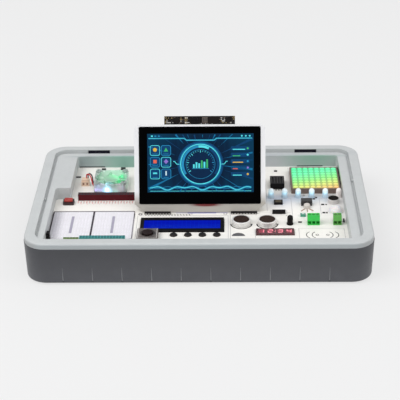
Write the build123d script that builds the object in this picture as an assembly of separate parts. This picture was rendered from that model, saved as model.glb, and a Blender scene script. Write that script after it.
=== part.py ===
# Electronics learning kit: a shallow two-part case with a white circuit board as the
# floor of its well, a folding touch screen, and many small working parts on the board.
# Millimetres. +Z up, +Y to the back, +X to the right of someone facing the screen.
# Origin: centre of the footprint, on the surface that the feet stand on.
import os
from math import cos, degrees, pi, radians, tan

from build123d import *

# Case
CASE_CORNER = 19.0
TUB_WALL = 2.5
TUB_FLOOR = 2.5
TUB_DRAW_IN = 1.0
TUB_EDGE = 2.4
FOOT_PROUD = 0.8
FOOT_RADIUS = 6.0
FOOT_SEAT = 1.0
FOOT_FROM_CORNER = 24.0
FLUTE_PITCH = 24.45
FLUTE_SHIFT = -2.3
FLUTE_WIDTH = 3.2
FLUTE_DEPTH = 0.9
FLUTE_HEIGHT = 17.0

# Tray: raised rim, lid recess inside it, and the well that shows the board
RIM_STEP = 0.4
RIM_HEIGHT = 5.0
RIM_ABOVE_BOARD = 9.0
RIM_WALL = 8.8
RIM_SKIN = 2.4
RIM_EDGE = 1.8
RECESS_CORNER = 11.0
SHELF_LIFT = 2.2
SHELF_THICKNESS = 2.2
GROOVE_WIDTH = 2.2
GROOVE_DEPTH = 1.1
LEDGE_LEFT = 16.7
LEDGE_RIGHT = 19.2
LEDGE_BACK = 18.2
WELL_MARGIN_LEFT = 1.4
WELL_MARGIN_RIGHT = 0.6
WELL_MARGIN_FRONT = 11.8
WELL_MARGIN_BACK = 7.4
WELL_STEP_LENGTH = 13.1
WELL_STEP_BACK = 64.4
WELL_CORNER = 2.5
WELL_WALL = 2.0
TONGUE_THICKNESS = 1.6
TONGUE_DEPTH = 3.0
TONGUE_CLEARANCE = 0.4
LATCH_SLOT_LENGTH = 20.4
LATCH_SLOT_WIDTH = 3.4
LATCH_SLOT_INSET = (49.0, 48.2)
CABLE_SLOT_LENGTH = 24.0
CABLE_SLOT_HEIGHT = 1.1
CABLE_SLOT_INSET = (43.0, 44.4)
CATCH_LENGTH = 2.8
CATCH_WIDTH = 1.2
CATCH_Y = (-10.0, 24.0)

# Main board
BOARD_THICKNESS = 1.6
BOARD_HEADROOM = 0.9
BOARD_INSET_LEFT = 9.0
BOARD_INSET_RIGHT = 11.0
BOARD_INSET_FRONT = 6.4
BOARD_INSET_BACK = 9.0
BOARD_CORNER = 9.0
WINDOW_GAP = 0.3

# Case screws and posts
SCREW_INSET_LEFT = 13.7
SCREW_INSET_RIGHT = 14.5
SCREW_INSET_FRONT = 19.0
SCREW_INSET_BACK = 13.0
SCREW_INSET_CORNER = 23.0
SCREW_RADIUS = 1.45
SCREW_HEAD_RADIUS = 2.8
SCREW_HEAD_HEIGHT = 2.0
SCREW_SINK = 2.2
SCREW_HOLE = 1.7
PILOT_HOLE = 1.5
POST_RADIUS = 4.0
PROP_RADIUS = 3.0
PROP_PLACES = ((-30, 40), (30, 40), (-30, 6), (30, 6), (-75, 62), (0, -76), (72, -76))
BOSS_RADIUS = 2.8
BOSS_TOP_GAP = 1.0

# Computer board inside, its ports and the power inlet
COMPUTER_LENGTH = 85.0
COMPUTER_WIDTH = 56.0
COMPUTER_THICKNESS = 1.4
COMPUTER_INSET_RIGHT = 9.0
COMPUTER_INSET_BACK = 18.0
SPACER_RADIUS = 2.5
SPACER_BORE = 1.3
SPACER_HEIGHT = 3.0
SPACER_INSET = 3.5
SPACER_SPREAD = 58.0
PROCESSOR = (15.0, 15.0, 2.4)
PROCESSOR_PLACE = (30.0, 26.0)
MEMORY = (10.0, 14.0, 1.2)
MEMORY_STEP = 18.0
HEADER = (50.8, 5.0, 8.5)
HEADER_PLACE = (32.5, 52.5)
PORT_INSET = 4.0
USB_DEPTH = 17.5
USB_WIDTH = 13.2
USB_HEIGHT = 14.4
USB_FROM_BACK = (29.0, 47.0)
JACK_DEPTH = 21.3
JACK_WIDTH = 15.9
JACK_HEIGHT = 13.5
JACK_FROM_BACK = 10.3
PORT_SKIN = 0.7
BLADE_THICKNESS_USB = 1.8
BLADE_INSET = 1.4
JACK_MOUTH = (11.9, 7.6)
JACK_TAB = (6.0, 1.6)
JACK_SILL = 3.2
PORT_GAP = 0.5
INLET_X = -60.0
INLET_WIDTH = 9.0
INLET_HEIGHT = 11.0
INLET_DEPTH = 13.4
INLET_INSET = 5.6
INLET_BORE = 3.1
INLET_SINK = 9.4
INLET_PIN = 0.7
INLET_PIN_BACK = 1.0
INLET_MARGIN = 1.0

# Module board under the main board: it carries the character display, keys, cans, digits
MODULE_MARGIN = 6.2
MODULE_DROP = 4.0
MODULE_THICKNESS = 1.6
MODULE_SPACER_RADIUS = 2.2
MODULE_SPACER_EDGE = 2.6
MODULE_SPACER_GAP = 1.9

# Character display
BEZEL_X = -15.0
BEZEL_Y = -37.3
BEZEL_LENGTH = 71.6
BEZEL_WIDTH = 24.2
BEZEL_PROUD = 1.4
BEZEL_SKIN = 0.6
BEZEL_BAR = 3.1
BEZEL_RAIL = 4.35
PANE_THICKNESS = 2.8
PANE_GAP = 0.1

# Round keys
KEY_COUNT = 4
KEY_PITCH = 12.2
KEY_FROM_BEZEL = 28.9
KEY_Y = -54.5
KEY_BASE = 6.0
KEY_BASE_HEIGHT = 3.5
KEY_CAP_RADIUS = 3.1
KEY_PROUD = 1.2
KEY_STEM_RADIUS = 1.7
KEY_STEM_DEPTH = 2.0
KEY_TRAVEL = 0.3
KEY_CAP_GAP = 0.4
KEY_FIT = 0.05

# Red push button
RESET_FROM_WALL = 11.7
RESET_Y = 4.6
RESET_BASE = (9.6, 8.0, 2.6)
RESET_CAP = (7.4, 6.0, 1.3)
RESET_STEM = (4.6, 3.6, 1.9)
RESET_TRAVEL = 0.25
RESET_GAP = 0.3
RESET_FIT = 0.08

# Thumb stick, which slides on two crossed ways
STICK_FROM_BEZEL = 7.3
STICK_Y = -59.6
STICK_BASE = 17.8
STICK_HEIGHT = 5.0
STICK_WALL = 1.2
STICK_SKIN = 0.8
STICK_OPENING = 5.2
STICK_TRAVEL = 2.2
STICK_STEM = 1.6
STICK_CAP_RADIUS = 4.6
STICK_CAP_HEIGHT = 1.1
STICK_FLANGE = 2.6
CARRIAGE_LENGTH = 9.0
CARRIAGE_THICKNESS = 1.2
STICK_GAP = 0.2

# Fan
FAN_X = -81.3
FAN_Y = 39.6
FAN_SIZE = 30.0
FAN_HEIGHT = 8.0
FAN_CORNER = 3.0
FAN_BORE = 14.2
FAN_HOLE_SPACING = 24.0
FAN_HOLE = 1.6
FAN_SPOKE = 2.4
FAN_SPOKE_THICKNESS = 1.2
FAN_SEAT = 7.4
ROTOR_TIP = 13.4
ROTOR_HUB = 7.0
ROTOR_SKIN = 0.8
ROTOR_LIFT = 0.6
ROTOR_TOP_GAP = 0.8
BLADE_COUNT = 7
BLADE_THICKNESS = 0.9
BLADE_PITCH = 38.0
SHAFT_RADIUS = 0.75
SHAFT_FIT = 0.05
CORE_RADIUS = 4.8
CORE_TOP_GAP = 0.7
FAN_SCREW_HEAD = 2.6
FAN_SCREW_HEAD_HEIGHT = 1.5
LEAD_DIAMETER = 1.1
RED_LEAD = (
    (-103.8, 41.1, 31.4), (-103.8, 41.1, 34.3), (-102.3, 39.5, 36.4), (-100.3, 37.3, 36.3),
    (-98.9, 35.7, 34.1), (-98.2, 33.3, 30.9), (-96.0, 30.5, 27.6),
)
BLACK_LEAD = (
    (-102.5, 42.2, 31.4), (-102.5, 42.2, 34.2), (-101.0, 40.6, 36.5), (-99.1, 38.4, 36.3),
    (-97.8, 36.8, 34.0), (-97.4, 34.6, 30.9), (-96.0, 32.2, 27.8),
)

# Fan plug
PLUG_X = -104.9
PLUG_Y = 40.8
PLUG_SHROUD = (7.2, 6.0, 4.6)
PLUG_BODY = (6.2, 4.6, 2.2)

# Pin sockets: columns, rows, height, place of the middle
PIN_PITCH = 2.54
PIN_HOLE = 0.9
PIN_HOLE_DEPTH = 4.0
RED_WAYS = 20
RED_PLACE = (-83.3, 11.9)
RED_HEIGHT = 5.8
TEAL_WAYS = 15
TEAL_PLACE = (-80.5, -72.4)
TALL_HEIGHT = 8.5
LIME_WAYS = 5
LIME_PLACE = (-106.3, -74.0)
BLACK_FROM_WALL = 1.9
BLACK_Y = -63.8
COMB_WAYS = 9
COMB_WIDTH = 2.2
COMB_HEIGHT = 2.0
COMB_Y = -16.3
COMB_X = (-36.9, 38.2)

# Breadboards, sunk in a window of the main board
BREADBOARD_SPLIT = 1.0
BREADBOARD_FROM_MODULE = 0.5
BREADBOARD_Y = -36.8
BREADBOARD_SIZE = (34.2, 47.0, 8.5)
BREADBOARD_PROUD = 0.8
BREADBOARD_GAP = 1.0
BREADBOARD_HOLE = 1.0
BREADBOARD_ROWS = 17
BREADBOARD_COLUMNS = 5
BREADBOARD_INNER = 3.81
TRENCH = (1.6, 30.0, 1.2)
RIB_THICKNESS = 2.0
RIB_SPACING = 26.0

# Distance sensor cans and digits
CAN_FROM_BEZEL = 14.9
CAN_PITCH = 22.2
CAN_Y = -34.4
CAN_RADIUS = 8.0
CAN_PROUD = 4.5
CAN_LIP = 1.1
MESH_THICKNESS = 0.6
MESH_SUNK = 0.4
DIGITS_X = 64.2
DIGITS_Y = -50.4
DIGITS_SIZE = (32.2, 10.2)
DIGITS_PROUD = 1.4

# Lamps
LAMP_RADIUS = 2.5
LAMP_FLANGE = 2.9
LAMP_FLANGE_HEIGHT = 1.0
LAMP_HEIGHT = 8.6
LAMP_COUNT = 6
LAMP_PITCH = 12.0
LAMP_FIRST_X = 62.7
LAMP_WALL_GAP = 0.2
LAMP_Y = 15.0
BULLET_X = 77.3
BULLET_Y = -35.6
MATRIX_FROM_HUMIDITY = 5.8
MATRIX_Y = 43.4
MATRIX_SIZE = 44.2
MATRIX_HEIGHT = 4.8
MATRIX_FACE = 41.4
MATRIX_COUNT = 8
MATRIX_LENS = 4.3
MATRIX_LENS_HEIGHT = 0.6
MATRIX_PLATE = 0.8
MATRIX_POCKET = 1.2

# Other parts on the main board
HUMIDITY_X = 68.9
HUMIDITY_Y = 38.4
HUMIDITY_SIZE = (12.6, 15.6, 5.5)
HUMIDITY_GROOVES = 5
HUMIDITY_LEGS = 4
RELAY_X = 93.4
RELAY_Y = 0.8
RELAY_SIZE = (9.7, 6.0, 5.0)
EYE_X = 93.4
EYE_Y = -5.6
EYE_RADIUS = 2.9
EYE_HEIGHT = 4.0
EYE_LEG = 0.6
EYE_LEG_LENGTH = 7.0
EYE_LEG_SPLAY = 38
TERMINAL_PITCH = 3.5
TERMINAL_DEPTH = 6.8
TERMINAL_HEIGHT = 8.2
TERMINAL_LIP = 4.4
TERMINAL_FRONT = -37.9
TERMINAL_X = (97.4, 117.7)
LEFT_TERMINAL_WAYS = 3
RIGHT_TERMINAL_WAYS = 2
TERMINAL_SCREW = 1.3
TERMINAL_SINK = 2.6
TERMINAL_MOUTH = (2.5, 6.0, 2.6)
TERMINAL_SILL = 1.2
MICROPHONE_X = 117.2
MICROPHONE_Y = 4.4
MICROPHONE_RADIUS = 4.85
MICROPHONE_HEIGHT = 4.3
MOTION_X = 118.0
MOTION_Y = -12.3
MOTION_RADIUS = 6.4
MOTION_HEIGHT = 5.4
MOTION_BASE = 1.0
CHIP_PLACE = (68.7, 3.2)
CHIP_SIZE = (7.7, 6.2, 2.0)
TILT_PLACE = (68.5, -16.0)
TILT_RADIUS = 1.8
TILT_LENGTH = 11.3
TRIMMER_PLACE = (89.2, -20.9)
TRIMMER_SIZE = (4.4, 3.8, 2.0)

# Folding screen. It is drawn lying flat, v back from the hinge axis, n up, then turned
AXIS_Y = -8.0
AXIS_LIFT = 4.6
SCREEN_ANGLE = 67.3
SCREEN_HALF = 57.0
SCREEN_TOP = 70.2
SCREEN_CORNER = 5.0
CHIN_END = -6.0
CHIN_HALF = 48.5
CHIN_SHOULDER = 1.0
SCREEN_FRONT = 4.27
SCREEN_SPLIT = 2.0
SCREEN_BACK = -4.0
SCREEN_WALL = 1.8
CHIN_NOSE = 0.3
GLASS_SIZE = (105.6, 67.3)
GLASS_LOW = 1.04
GLASS_THICKNESS = 1.2
GLASS_PROUD = 0.5
GLASS_GAP = 0.15
PANEL_SIZE = (101.0, 61.4, 2.4)
PANEL_GAP = 0.1
DRIVER_SIZE = (78.0, 46.0, 1.2)
DRIVER_LEDGE = 0.5
DRIVER_CHIP = (9.0, 9.0, 0.8)
DRIVER_CHIP_PLACE = (14.0, 6.0)
DRIVER_FOOT_INSET = 4.0
DRIVER_FOOT_RADIUS = 2.5
EAR_X = 41.0
EAR_THICKNESS = 5.0
EAR_RADIUS = 2.9
EAR_GAP = 0.3
PIN_RADIUS = 1.2
PIN_FIT = 0.05
PIN_REACH = 3.4
FOOT_PLATE = (14.0, 12.0, 1.6)
PEG_RADIUS = 1.2
PEG_SPACING = 9.0
PEG_BACK = 7.0
FOOT_PLATE_BACK = 4.0
CAMERA_SIZE = (61.4, 10.4, 1.0)
CAMERA_TOP = 77.4
CAMERA_N = 0.6
CAMERA_SLOT_GAP = 0.1
CAMERA_CHIPS = (((10.0, 5.6, 1.0), 12.0), ((6.0, 4.6, 0.8), -20.0), ((5.0, 4.0, 1.2), 24.5))
LENS_X = -3.6
LENS_INSET = 3.6
LENS_BLOCK = 7.0
LENS_BLOCK_HEIGHT = 2.0
LENS_RADIUS = 2.6
LENS_HEIGHT = 1.4

# Heights, from the floor up: the board lies just above the tallest port
PAST = 1.0
FLOOR_TOP = FOOT_PROUD + TUB_FLOOR
COMPUTER_TOP = FLOOR_TOP + SPACER_HEIGHT + COMPUTER_THICKNESS
BOARD_UNDER = COMPUTER_TOP + USB_HEIGHT + BOARD_HEADROOM
BOARD_TOP = BOARD_UNDER + BOARD_THICKNESS
MODULE_TOP = BOARD_UNDER - MODULE_DROP
AXIS_Z = BOARD_TOP + AXIS_LIFT
SEAM_HEIGHT = BOARD_TOP + RIM_ABOVE_BOARD
SHELF_HEIGHT = SEAM_HEIGHT + SHELF_LIFT
CASE_HEIGHT = SEAM_HEIGHT + RIM_HEIGHT

# The module board reaches past the character display, the keys and the digits
BEZEL_LEFT = BEZEL_X - BEZEL_LENGTH / 2
BEZEL_RIGHT = BEZEL_X + BEZEL_LENGTH / 2
KEY_X = [BEZEL_LEFT + KEY_FROM_BEZEL + i * KEY_PITCH for i in range(KEY_COUNT)]
STICK_X = BEZEL_LEFT + STICK_FROM_BEZEL
CAN_X = [BEZEL_RIGHT + CAN_FROM_BEZEL + i * CAN_PITCH for i in range(2)]
MODULE_LEFT = BEZEL_LEFT - MODULE_MARGIN
MODULE_RIGHT = DIGITS_X + DIGITS_SIZE[0] / 2 + MODULE_MARGIN
MODULE_FRONT = KEY_Y - KEY_BASE / 2 - MODULE_MARGIN
MODULE_BACK = BEZEL_Y + BEZEL_WIDTH / 2 + MODULE_MARGIN
MODULE_SPACER_X = (
    MODULE_LEFT + MODULE_SPACER_EDGE,
    BEZEL_RIGHT + MODULE_SPACER_RADIUS + MODULE_SPACER_GAP,
    MODULE_RIGHT - MODULE_SPACER_EDGE,
)
MODULE_SPACER_Y = (MODULE_FRONT + MODULE_SPACER_EDGE, MODULE_BACK - MODULE_SPACER_EDGE)

# The breadboards lie beside the module board, the matrix beside the humidity sensor
BREADBOARD_RIGHT_X = MODULE_LEFT - BREADBOARD_FROM_MODULE - BREADBOARD_SIZE[0] / 2
BREADBOARD_X = (BREADBOARD_RIGHT_X - BREADBOARD_SIZE[0] - BREADBOARD_SPLIT, BREADBOARD_RIGHT_X)
MATRIX_X = HUMIDITY_X + HUMIDITY_SIZE[0] / 2 + MATRIX_FROM_HUMIDITY + MATRIX_SIZE / 2
LAST_LAMP_X = LAMP_FIRST_X + (LAMP_COUNT - 1) * LAMP_PITCH

# The well takes the outermost parts and the folded screen; the case follows the well
WELL_LEFT = BREADBOARD_X[0] - BREADBOARD_SIZE[0] / 2 - WELL_MARGIN_LEFT
WELL_RIGHT = max(
    MATRIX_X + MATRIX_SIZE / 2 + WELL_MARGIN_RIGHT,
    LAST_LAMP_X + LAMP_FLANGE + LAMP_WALL_GAP,
)
WELL_FRONT = LIME_PLACE[1] - WELL_MARGIN_FRONT
WELL_BACK = AXIS_Y + CAMERA_TOP + WELL_MARGIN_BACK
WELL_STEP_X = WELL_LEFT + WELL_STEP_LENGTH
WELL_STEP_Y = WELL_BACK - WELL_STEP_BACK
CASE_LENGTH = 2 * max(LEDGE_LEFT - WELL_LEFT, LEDGE_RIGHT + WELL_RIGHT)
CASE_WIDTH = 2 * max(RIM_STEP + RIM_WALL - WELL_FRONT, LEDGE_BACK + WELL_BACK)
RIM_LENGTH = CASE_LENGTH - 2 * RIM_STEP
RIM_WIDTH = CASE_WIDTH - 2 * RIM_STEP

# Places that follow the case's sides
BOARD_LEFT = BOARD_INSET_LEFT - CASE_LENGTH / 2
BOARD_RIGHT = CASE_LENGTH / 2 - BOARD_INSET_RIGHT
BOARD_FRONT = BOARD_INSET_FRONT - CASE_WIDTH / 2
BOARD_BACK = CASE_WIDTH / 2 - BOARD_INSET_BACK
COMPUTER_RIGHT = CASE_LENGTH / 2 - COMPUTER_INSET_RIGHT
COMPUTER_BACK = CASE_WIDTH / 2 - COMPUTER_INSET_BACK
PORT_FACE = CASE_LENGTH / 2 - PORT_INSET
INLET_FACE = CASE_WIDTH / 2 - INLET_INSET
SCREW_LEFT = SCREW_INSET_LEFT - CASE_LENGTH / 2
SCREW_RIGHT = CASE_LENGTH / 2 - SCREW_INSET_RIGHT
SCREW_FRONT = SCREW_INSET_FRONT - CASE_WIDTH / 2
SCREW_BACK = CASE_WIDTH / 2 - SCREW_INSET_BACK
SCREW_CORNER = CASE_LENGTH / 2 - SCREW_INSET_CORNER
SCREW_PLACES = [(x, y) for x in (SCREW_LEFT, SCREW_RIGHT) for y in (SCREW_FRONT, 0)]
SCREW_PLACES += [(-SCREW_CORNER, SCREW_BACK), (SCREW_CORNER, SCREW_BACK)]
LATCH_SLOTS_X = (LATCH_SLOT_INSET[0] - CASE_LENGTH / 2, CASE_LENGTH / 2 - LATCH_SLOT_INSET[1])
CABLE_SLOTS_X = (CABLE_SLOT_INSET[0] - CASE_LENGTH / 2, CASE_LENGTH / 2 - CABLE_SLOT_INSET[1])
RESET_X = WELL_LEFT + RESET_FROM_WALL


# Helpers
def span(x, y, z):
    """Box between two limits along each axis."""
    middle = Pos((x[0] + x[1]) / 2, (y[0] + y[1]) / 2, (z[0] + z[1]) / 2)
    return middle * Box(x[1] - x[0], y[1] - y[0], z[1] - z[0])


def post(x, y, low, high, radius):
    """Upright cylinder between two heights."""
    return Pos(x, y, (low + high) / 2) * Cylinder(radius, high - low)


def brick(x, y, low, size):
    """Box centred on x, y that stands on the height low."""
    return Pos(x, y, low + size[2] / 2) * Box(size[0], size[1], size[2])


def slab(outline, low, high):
    """Outline, drawn on the floor plane, as a plate between two heights."""
    return Pos(0, 0, low) * extrude(outline, high - low)


def together(solids):
    """Separate solids in one node."""
    return Compound(children=list(solids))


def case_draw_in(z):
    return TUB_DRAW_IN * (SEAM_HEIGHT - z) / (SEAM_HEIGHT - FOOT_PROUD)


def drafted(margin, low, high):
    """The tub's outer form, drawn in by a margin, between two heights."""
    outlines = []
    for z in (low, high):
        inset = margin + case_draw_in(z)
        length = CASE_LENGTH - 2 * inset
        width = CASE_WIDTH - 2 * inset
        outlines.append(Pos(0, 0, z) * RectangleRounded(length, width, CASE_CORNER - inset))
    return loft(outlines, ruled=True)


# Case
def flutes():
    """Shallow creases in the tub's sides, deepest at the bottom edge."""
    tilt = degrees(FLUTE_DEPTH / FLUTE_HEIGHT)
    draft = degrees(TUB_DRAW_IN / (SEAM_HEIGHT - FOOT_PROUD))
    side = FLUTE_WIDTH / 2 ** 0.5
    wedge = Pos(0, 0, FLUTE_HEIGHT / 2) * Rot(0, 0, 45) * Box(side, side, FLUTE_HEIGHT * 3)
    reach = FLUTE_WIDTH / 2 - FLUTE_DEPTH
    creases = []
    for half, other, turn in ((CASE_WIDTH, CASE_LENGTH, 0), (CASE_LENGTH, CASE_WIDTH, 90)):
        count = int((other - 2 * CASE_CORNER) / FLUTE_PITCH)
        for face in (turn, turn + 180):
            for index in range(count):
                along = FLUTE_SHIFT + (index - (count - 1) / 2) * FLUTE_PITCH
                outer = half / 2 - TUB_DRAW_IN + reach
                place = Rot(0, 0, face) * Pos(along, -outer, FOOT_PROUD)
                creases.append(place * Rot(draft + tilt, 0, 0) * wedge)
    return creases


def lower_tub():
    tub = drafted(0, FOOT_PROUD, SEAM_HEIGHT)
    tub = fillet(tub.faces().sort_by(Axis.Z)[0].edges(), TUB_EDGE)
    tub -= flutes()
    tub -= drafted(TUB_WALL, FLOOR_TOP, SEAM_HEIGHT + PAST)
    for x, y in SCREW_PLACES:
        tub += post(x, y, FOOT_PROUD, BOARD_UNDER, POST_RADIUS)
    for x, y in SCREW_PLACES:
        tub -= post(x, y, 0, BOARD_UNDER + PAST, SCREW_HOLE)
        tub -= post(x, y, 0, FOOT_PROUD + SCREW_SINK, SCREW_HEAD_RADIUS + WINDOW_GAP)
    for x, y in PROP_PLACES:
        tub += post(x, y, FLOOR_TOP, BOARD_UNDER, PROP_RADIUS)
    half = (BREADBOARD_X[1] - BREADBOARD_X[0] + BREADBOARD_SIZE[0]) / 2
    middle = sum(BREADBOARD_X) / 2
    for side in (-1, 1):
        y = BREADBOARD_Y + side * RIB_SPACING / 2
        rib_y = (y - RIB_THICKNESS / 2, y + RIB_THICKNESS / 2)
        tub += span((middle - half, middle + half), rib_y, (FLOOR_TOP, breadboard_low()))
    for x, y in foot_places():
        tub -= post(x, y, 0, FOOT_PROUD + FOOT_SEAT, FOOT_RADIUS)
    for low, high in port_spans():
        z = (COMPUTER_TOP - PORT_GAP, COMPUTER_TOP + port_height(low, high) + PORT_GAP)
        tub -= span((PORT_FACE - 3 * TUB_WALL, CASE_LENGTH), (low - PORT_GAP, high + PORT_GAP), z)
    inlet_z = BOARD_UNDER - INLET_HEIGHT / 2
    drill = Rot(90, 0, 0) * Cylinder(INLET_BORE + INLET_MARGIN, 4 * TUB_WALL)
    return tub - Pos(INLET_X, CASE_WIDTH / 2, inlet_z) * drill


def well_outline(grow):
    """Outline of the well, with its step at the left, grown by a margin."""
    left, right = WELL_LEFT - grow, WELL_RIGHT + grow
    front, back = WELL_FRONT - grow, WELL_BACK + grow
    step_x, step_y = WELL_STEP_X - grow, WELL_STEP_Y + grow
    corners = [(left, front), (right, front), (right, back), (step_x, back)]
    corners += [(step_x, step_y), (left, step_y)]
    sketch = make_face(Polyline(*corners, close=True))
    return fillet(sketch.vertices(), WELL_CORNER)


def recess_outline(shrink):
    size = (RIM_LENGTH - 2 * RIM_WALL - 2 * shrink, RIM_WIDTH - 2 * RIM_WALL - 2 * shrink)
    return RectangleRounded(size[0], size[1], RECESS_CORNER - shrink)


def upper_tray():
    rim = RectangleRounded(RIM_LENGTH, RIM_WIDTH, CASE_CORNER - RIM_STEP)
    tray = slab(rim, SEAM_HEIGHT, CASE_HEIGHT)
    tray = fillet(tray.faces().sort_by(Axis.Z)[-1].edges(), min(RIM_EDGE, RIM_HEIGHT / 2))
    tray -= slab(recess_outline(0), SHELF_HEIGHT, CASE_HEIGHT + PAST)
    groove = recess_outline(0) - recess_outline(GROOVE_WIDTH)
    tray -= slab(groove, SHELF_HEIGHT - GROOVE_DEPTH, CASE_HEIGHT)
    tray -= slab(recess_outline(RIM_SKIN), 0, SHELF_HEIGHT - SHELF_THICKNESS)
    skin_size = (RIM_LENGTH - 2 * RIM_SKIN, RIM_WIDTH - 2 * RIM_SKIN)
    skin = RectangleRounded(skin_size[0], skin_size[1], CASE_CORNER - RIM_STEP - RIM_SKIN)
    tray -= slab(skin - recess_outline(-RIM_SKIN), SEAM_HEIGHT - PAST, CASE_HEIGHT - RIM_SKIN)
    tray += slab(well_outline(WELL_WALL), BOARD_TOP, SHELF_HEIGHT - SHELF_THICKNESS)
    tray += tongue()
    for x, y in SCREW_PLACES:
        tray += post(x, y, BOARD_TOP, SHELF_HEIGHT - BOSS_TOP_GAP, BOSS_RADIUS)
    tray -= slab(well_outline(0), 0, CASE_HEIGHT + PAST)
    for x, y in SCREW_PLACES:
        tray -= post(x, y, 0, screw_tip() + BOSS_TOP_GAP, PILOT_HOLE)
    groove_y = RIM_WIDTH / 2 - RIM_WALL
    for x in LATCH_SLOTS_X:
        slot_x = (x - LATCH_SLOT_LENGTH / 2, x + LATCH_SLOT_LENGTH / 2)
        slot_y = (groove_y - GROOVE_WIDTH, groove_y - GROOVE_WIDTH + LATCH_SLOT_WIDTH)
        tray -= span(slot_x, slot_y, (SEAM_HEIGHT - PAST, CASE_HEIGHT - RIM_SKIN + RIM_EDGE))
    for x in CABLE_SLOTS_X:
        slot_x = (x - CABLE_SLOT_LENGTH / 2, x + CABLE_SLOT_LENGTH / 2)
        slot_y = (WELL_BACK - PAST, WELL_BACK + 2 * WELL_WALL)
        tray -= span(slot_x, slot_y, (BOARD_TOP - PAST, BOARD_TOP + CABLE_SLOT_HEIGHT))
    groove_x = RIM_LENGTH / 2 - RIM_WALL
    for x, y in zip((-groove_x, groove_x), CATCH_Y):
        inner = x - CATCH_WIDTH if x > 0 else x + CATCH_WIDTH
        ends = (min(x, inner), max(x, inner))
        catch_y = (y - CATCH_LENGTH / 2, y + CATCH_LENGTH / 2)
        tray += span(ends, catch_y, (SHELF_HEIGHT - GROOVE_DEPTH, SHELF_HEIGHT + CATCH_WIDTH))
    return tray


def tongue():
    """Lip below the rim that locates the tray inside the tub."""
    low = SEAM_HEIGHT - TONGUE_DEPTH
    inset = TUB_WALL + case_draw_in(low) + TONGUE_CLEARANCE
    rings = []
    for margin in (inset, inset + TONGUE_THICKNESS):
        size = (CASE_LENGTH - 2 * margin, CASE_WIDTH - 2 * margin)
        rings.append(RectangleRounded(size[0], size[1], CASE_CORNER - margin))
    return slab(rings[0] - rings[1], low, CASE_HEIGHT - RIM_EDGE)


def foot_places():
    x = CASE_LENGTH / 2 - FOOT_FROM_CORNER
    y = CASE_WIDTH / 2 - FOOT_FROM_CORNER
    return [(x * i, y * j) for i in (-1, 1) for j in (-1, 1)]


def rubber_feet():
    return together(post(x, y, 0, FOOT_PROUD + FOOT_SEAT, FOOT_RADIUS) for x, y in foot_places())


def screw_tip():
    return BOARD_TOP + (SHELF_HEIGHT - BOARD_TOP) * 0.6


def case_screws():
    screws = []
    head_low = FOOT_PROUD + SCREW_SINK - SCREW_HEAD_HEIGHT
    for x, y in SCREW_PLACES:
        head = post(x, y, head_low, head_low + SCREW_HEAD_HEIGHT, SCREW_HEAD_RADIUS)
        slot = span((x - 2, x + 2), (y - 0.4, y + 0.4), (head_low - PAST, head_low + 1))
        cross = span((x - 0.4, x + 0.4), (y - 2, y + 2), (head_low - PAST, head_low + 1))
        shank = post(x, y, head_low + 1.2, screw_tip(), SCREW_RADIUS)
        screws.append(head - slot - cross + shank)
    return together(screws)


# Main board
def main_board():
    board = span((BOARD_LEFT, BOARD_RIGHT), (BOARD_FRONT, BOARD_BACK), (BOARD_UNDER, BOARD_TOP))
    board = fillet(board.edges().filter_by(Axis.Z), BOARD_CORNER)
    holes = [post(x, y, BOARD_UNDER - PAST, BOARD_TOP + PAST, SCREW_HOLE) for x, y in SCREW_PLACES]
    depth = BOARD_THICKNESS + 2 * PAST
    low = BOARD_UNDER - PAST
    half = (BREADBOARD_X[1] - BREADBOARD_X[0] + BREADBOARD_SIZE[0]) / 2 + BREADBOARD_GAP
    window = (2 * half, BREADBOARD_SIZE[1] + 2 * BREADBOARD_GAP, depth)
    holes.append(brick(sum(BREADBOARD_X) / 2, BREADBOARD_Y, low, window))
    grow = 2 * WINDOW_GAP
    holes.append(brick(BEZEL_X, BEZEL_Y, low, (BEZEL_LENGTH + grow, BEZEL_WIDTH + grow, depth)))
    digits = (DIGITS_SIZE[0] + grow, DIGITS_SIZE[1] + grow, depth)
    holes.append(brick(DIGITS_X, DIGITS_Y, low, digits))
    for x in KEY_X:
        holes.append(post(x, KEY_Y, low, low + depth, KEY_CAP_RADIUS + WINDOW_GAP))
    for x in CAN_X:
        holes.append(post(x, CAN_Y, low, low + depth, CAN_RADIUS + WINDOW_GAP))
    for side in (-1, 1):
        ear = (EAR_THICKNESS + 2 * PIN_FIT, 2 * EAR_RADIUS + 2 * PIN_FIT, depth)
        holes.append(brick(side * EAR_X, AXIS_Y, low, ear))
        for peg in peg_places(side):
            holes.append(post(peg[0], peg[1], low, low + depth, PEG_RADIUS + PIN_FIT))
    for x, y in fan_corners():
        holes.append(post(x, y, low, low + depth, FAN_HOLE))
    return board - holes


# Computer inside
def computer_left():
    return COMPUTER_RIGHT - COMPUTER_LENGTH


def computer_front():
    return COMPUTER_BACK - COMPUTER_WIDTH


def computer_corners():
    x = (computer_left() + SPACER_INSET, computer_left() + SPACER_INSET + SPACER_SPREAD)
    y = (computer_front() + SPACER_INSET, COMPUTER_BACK - SPACER_INSET)
    return [(i, j) for i in x for j in y]


def port_spans():
    """Front and back limits of each port along the right-hand wall."""
    spans = []
    for gap in USB_FROM_BACK:
        middle = COMPUTER_BACK - gap
        spans.append((middle - USB_WIDTH / 2, middle + USB_WIDTH / 2))
    middle = COMPUTER_BACK - JACK_FROM_BACK
    spans.append((middle - JACK_WIDTH / 2, middle + JACK_WIDTH / 2))
    return spans


def port_height(low, high):
    return USB_HEIGHT if abs(high - low - USB_WIDTH) < 0.01 else JACK_HEIGHT


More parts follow.
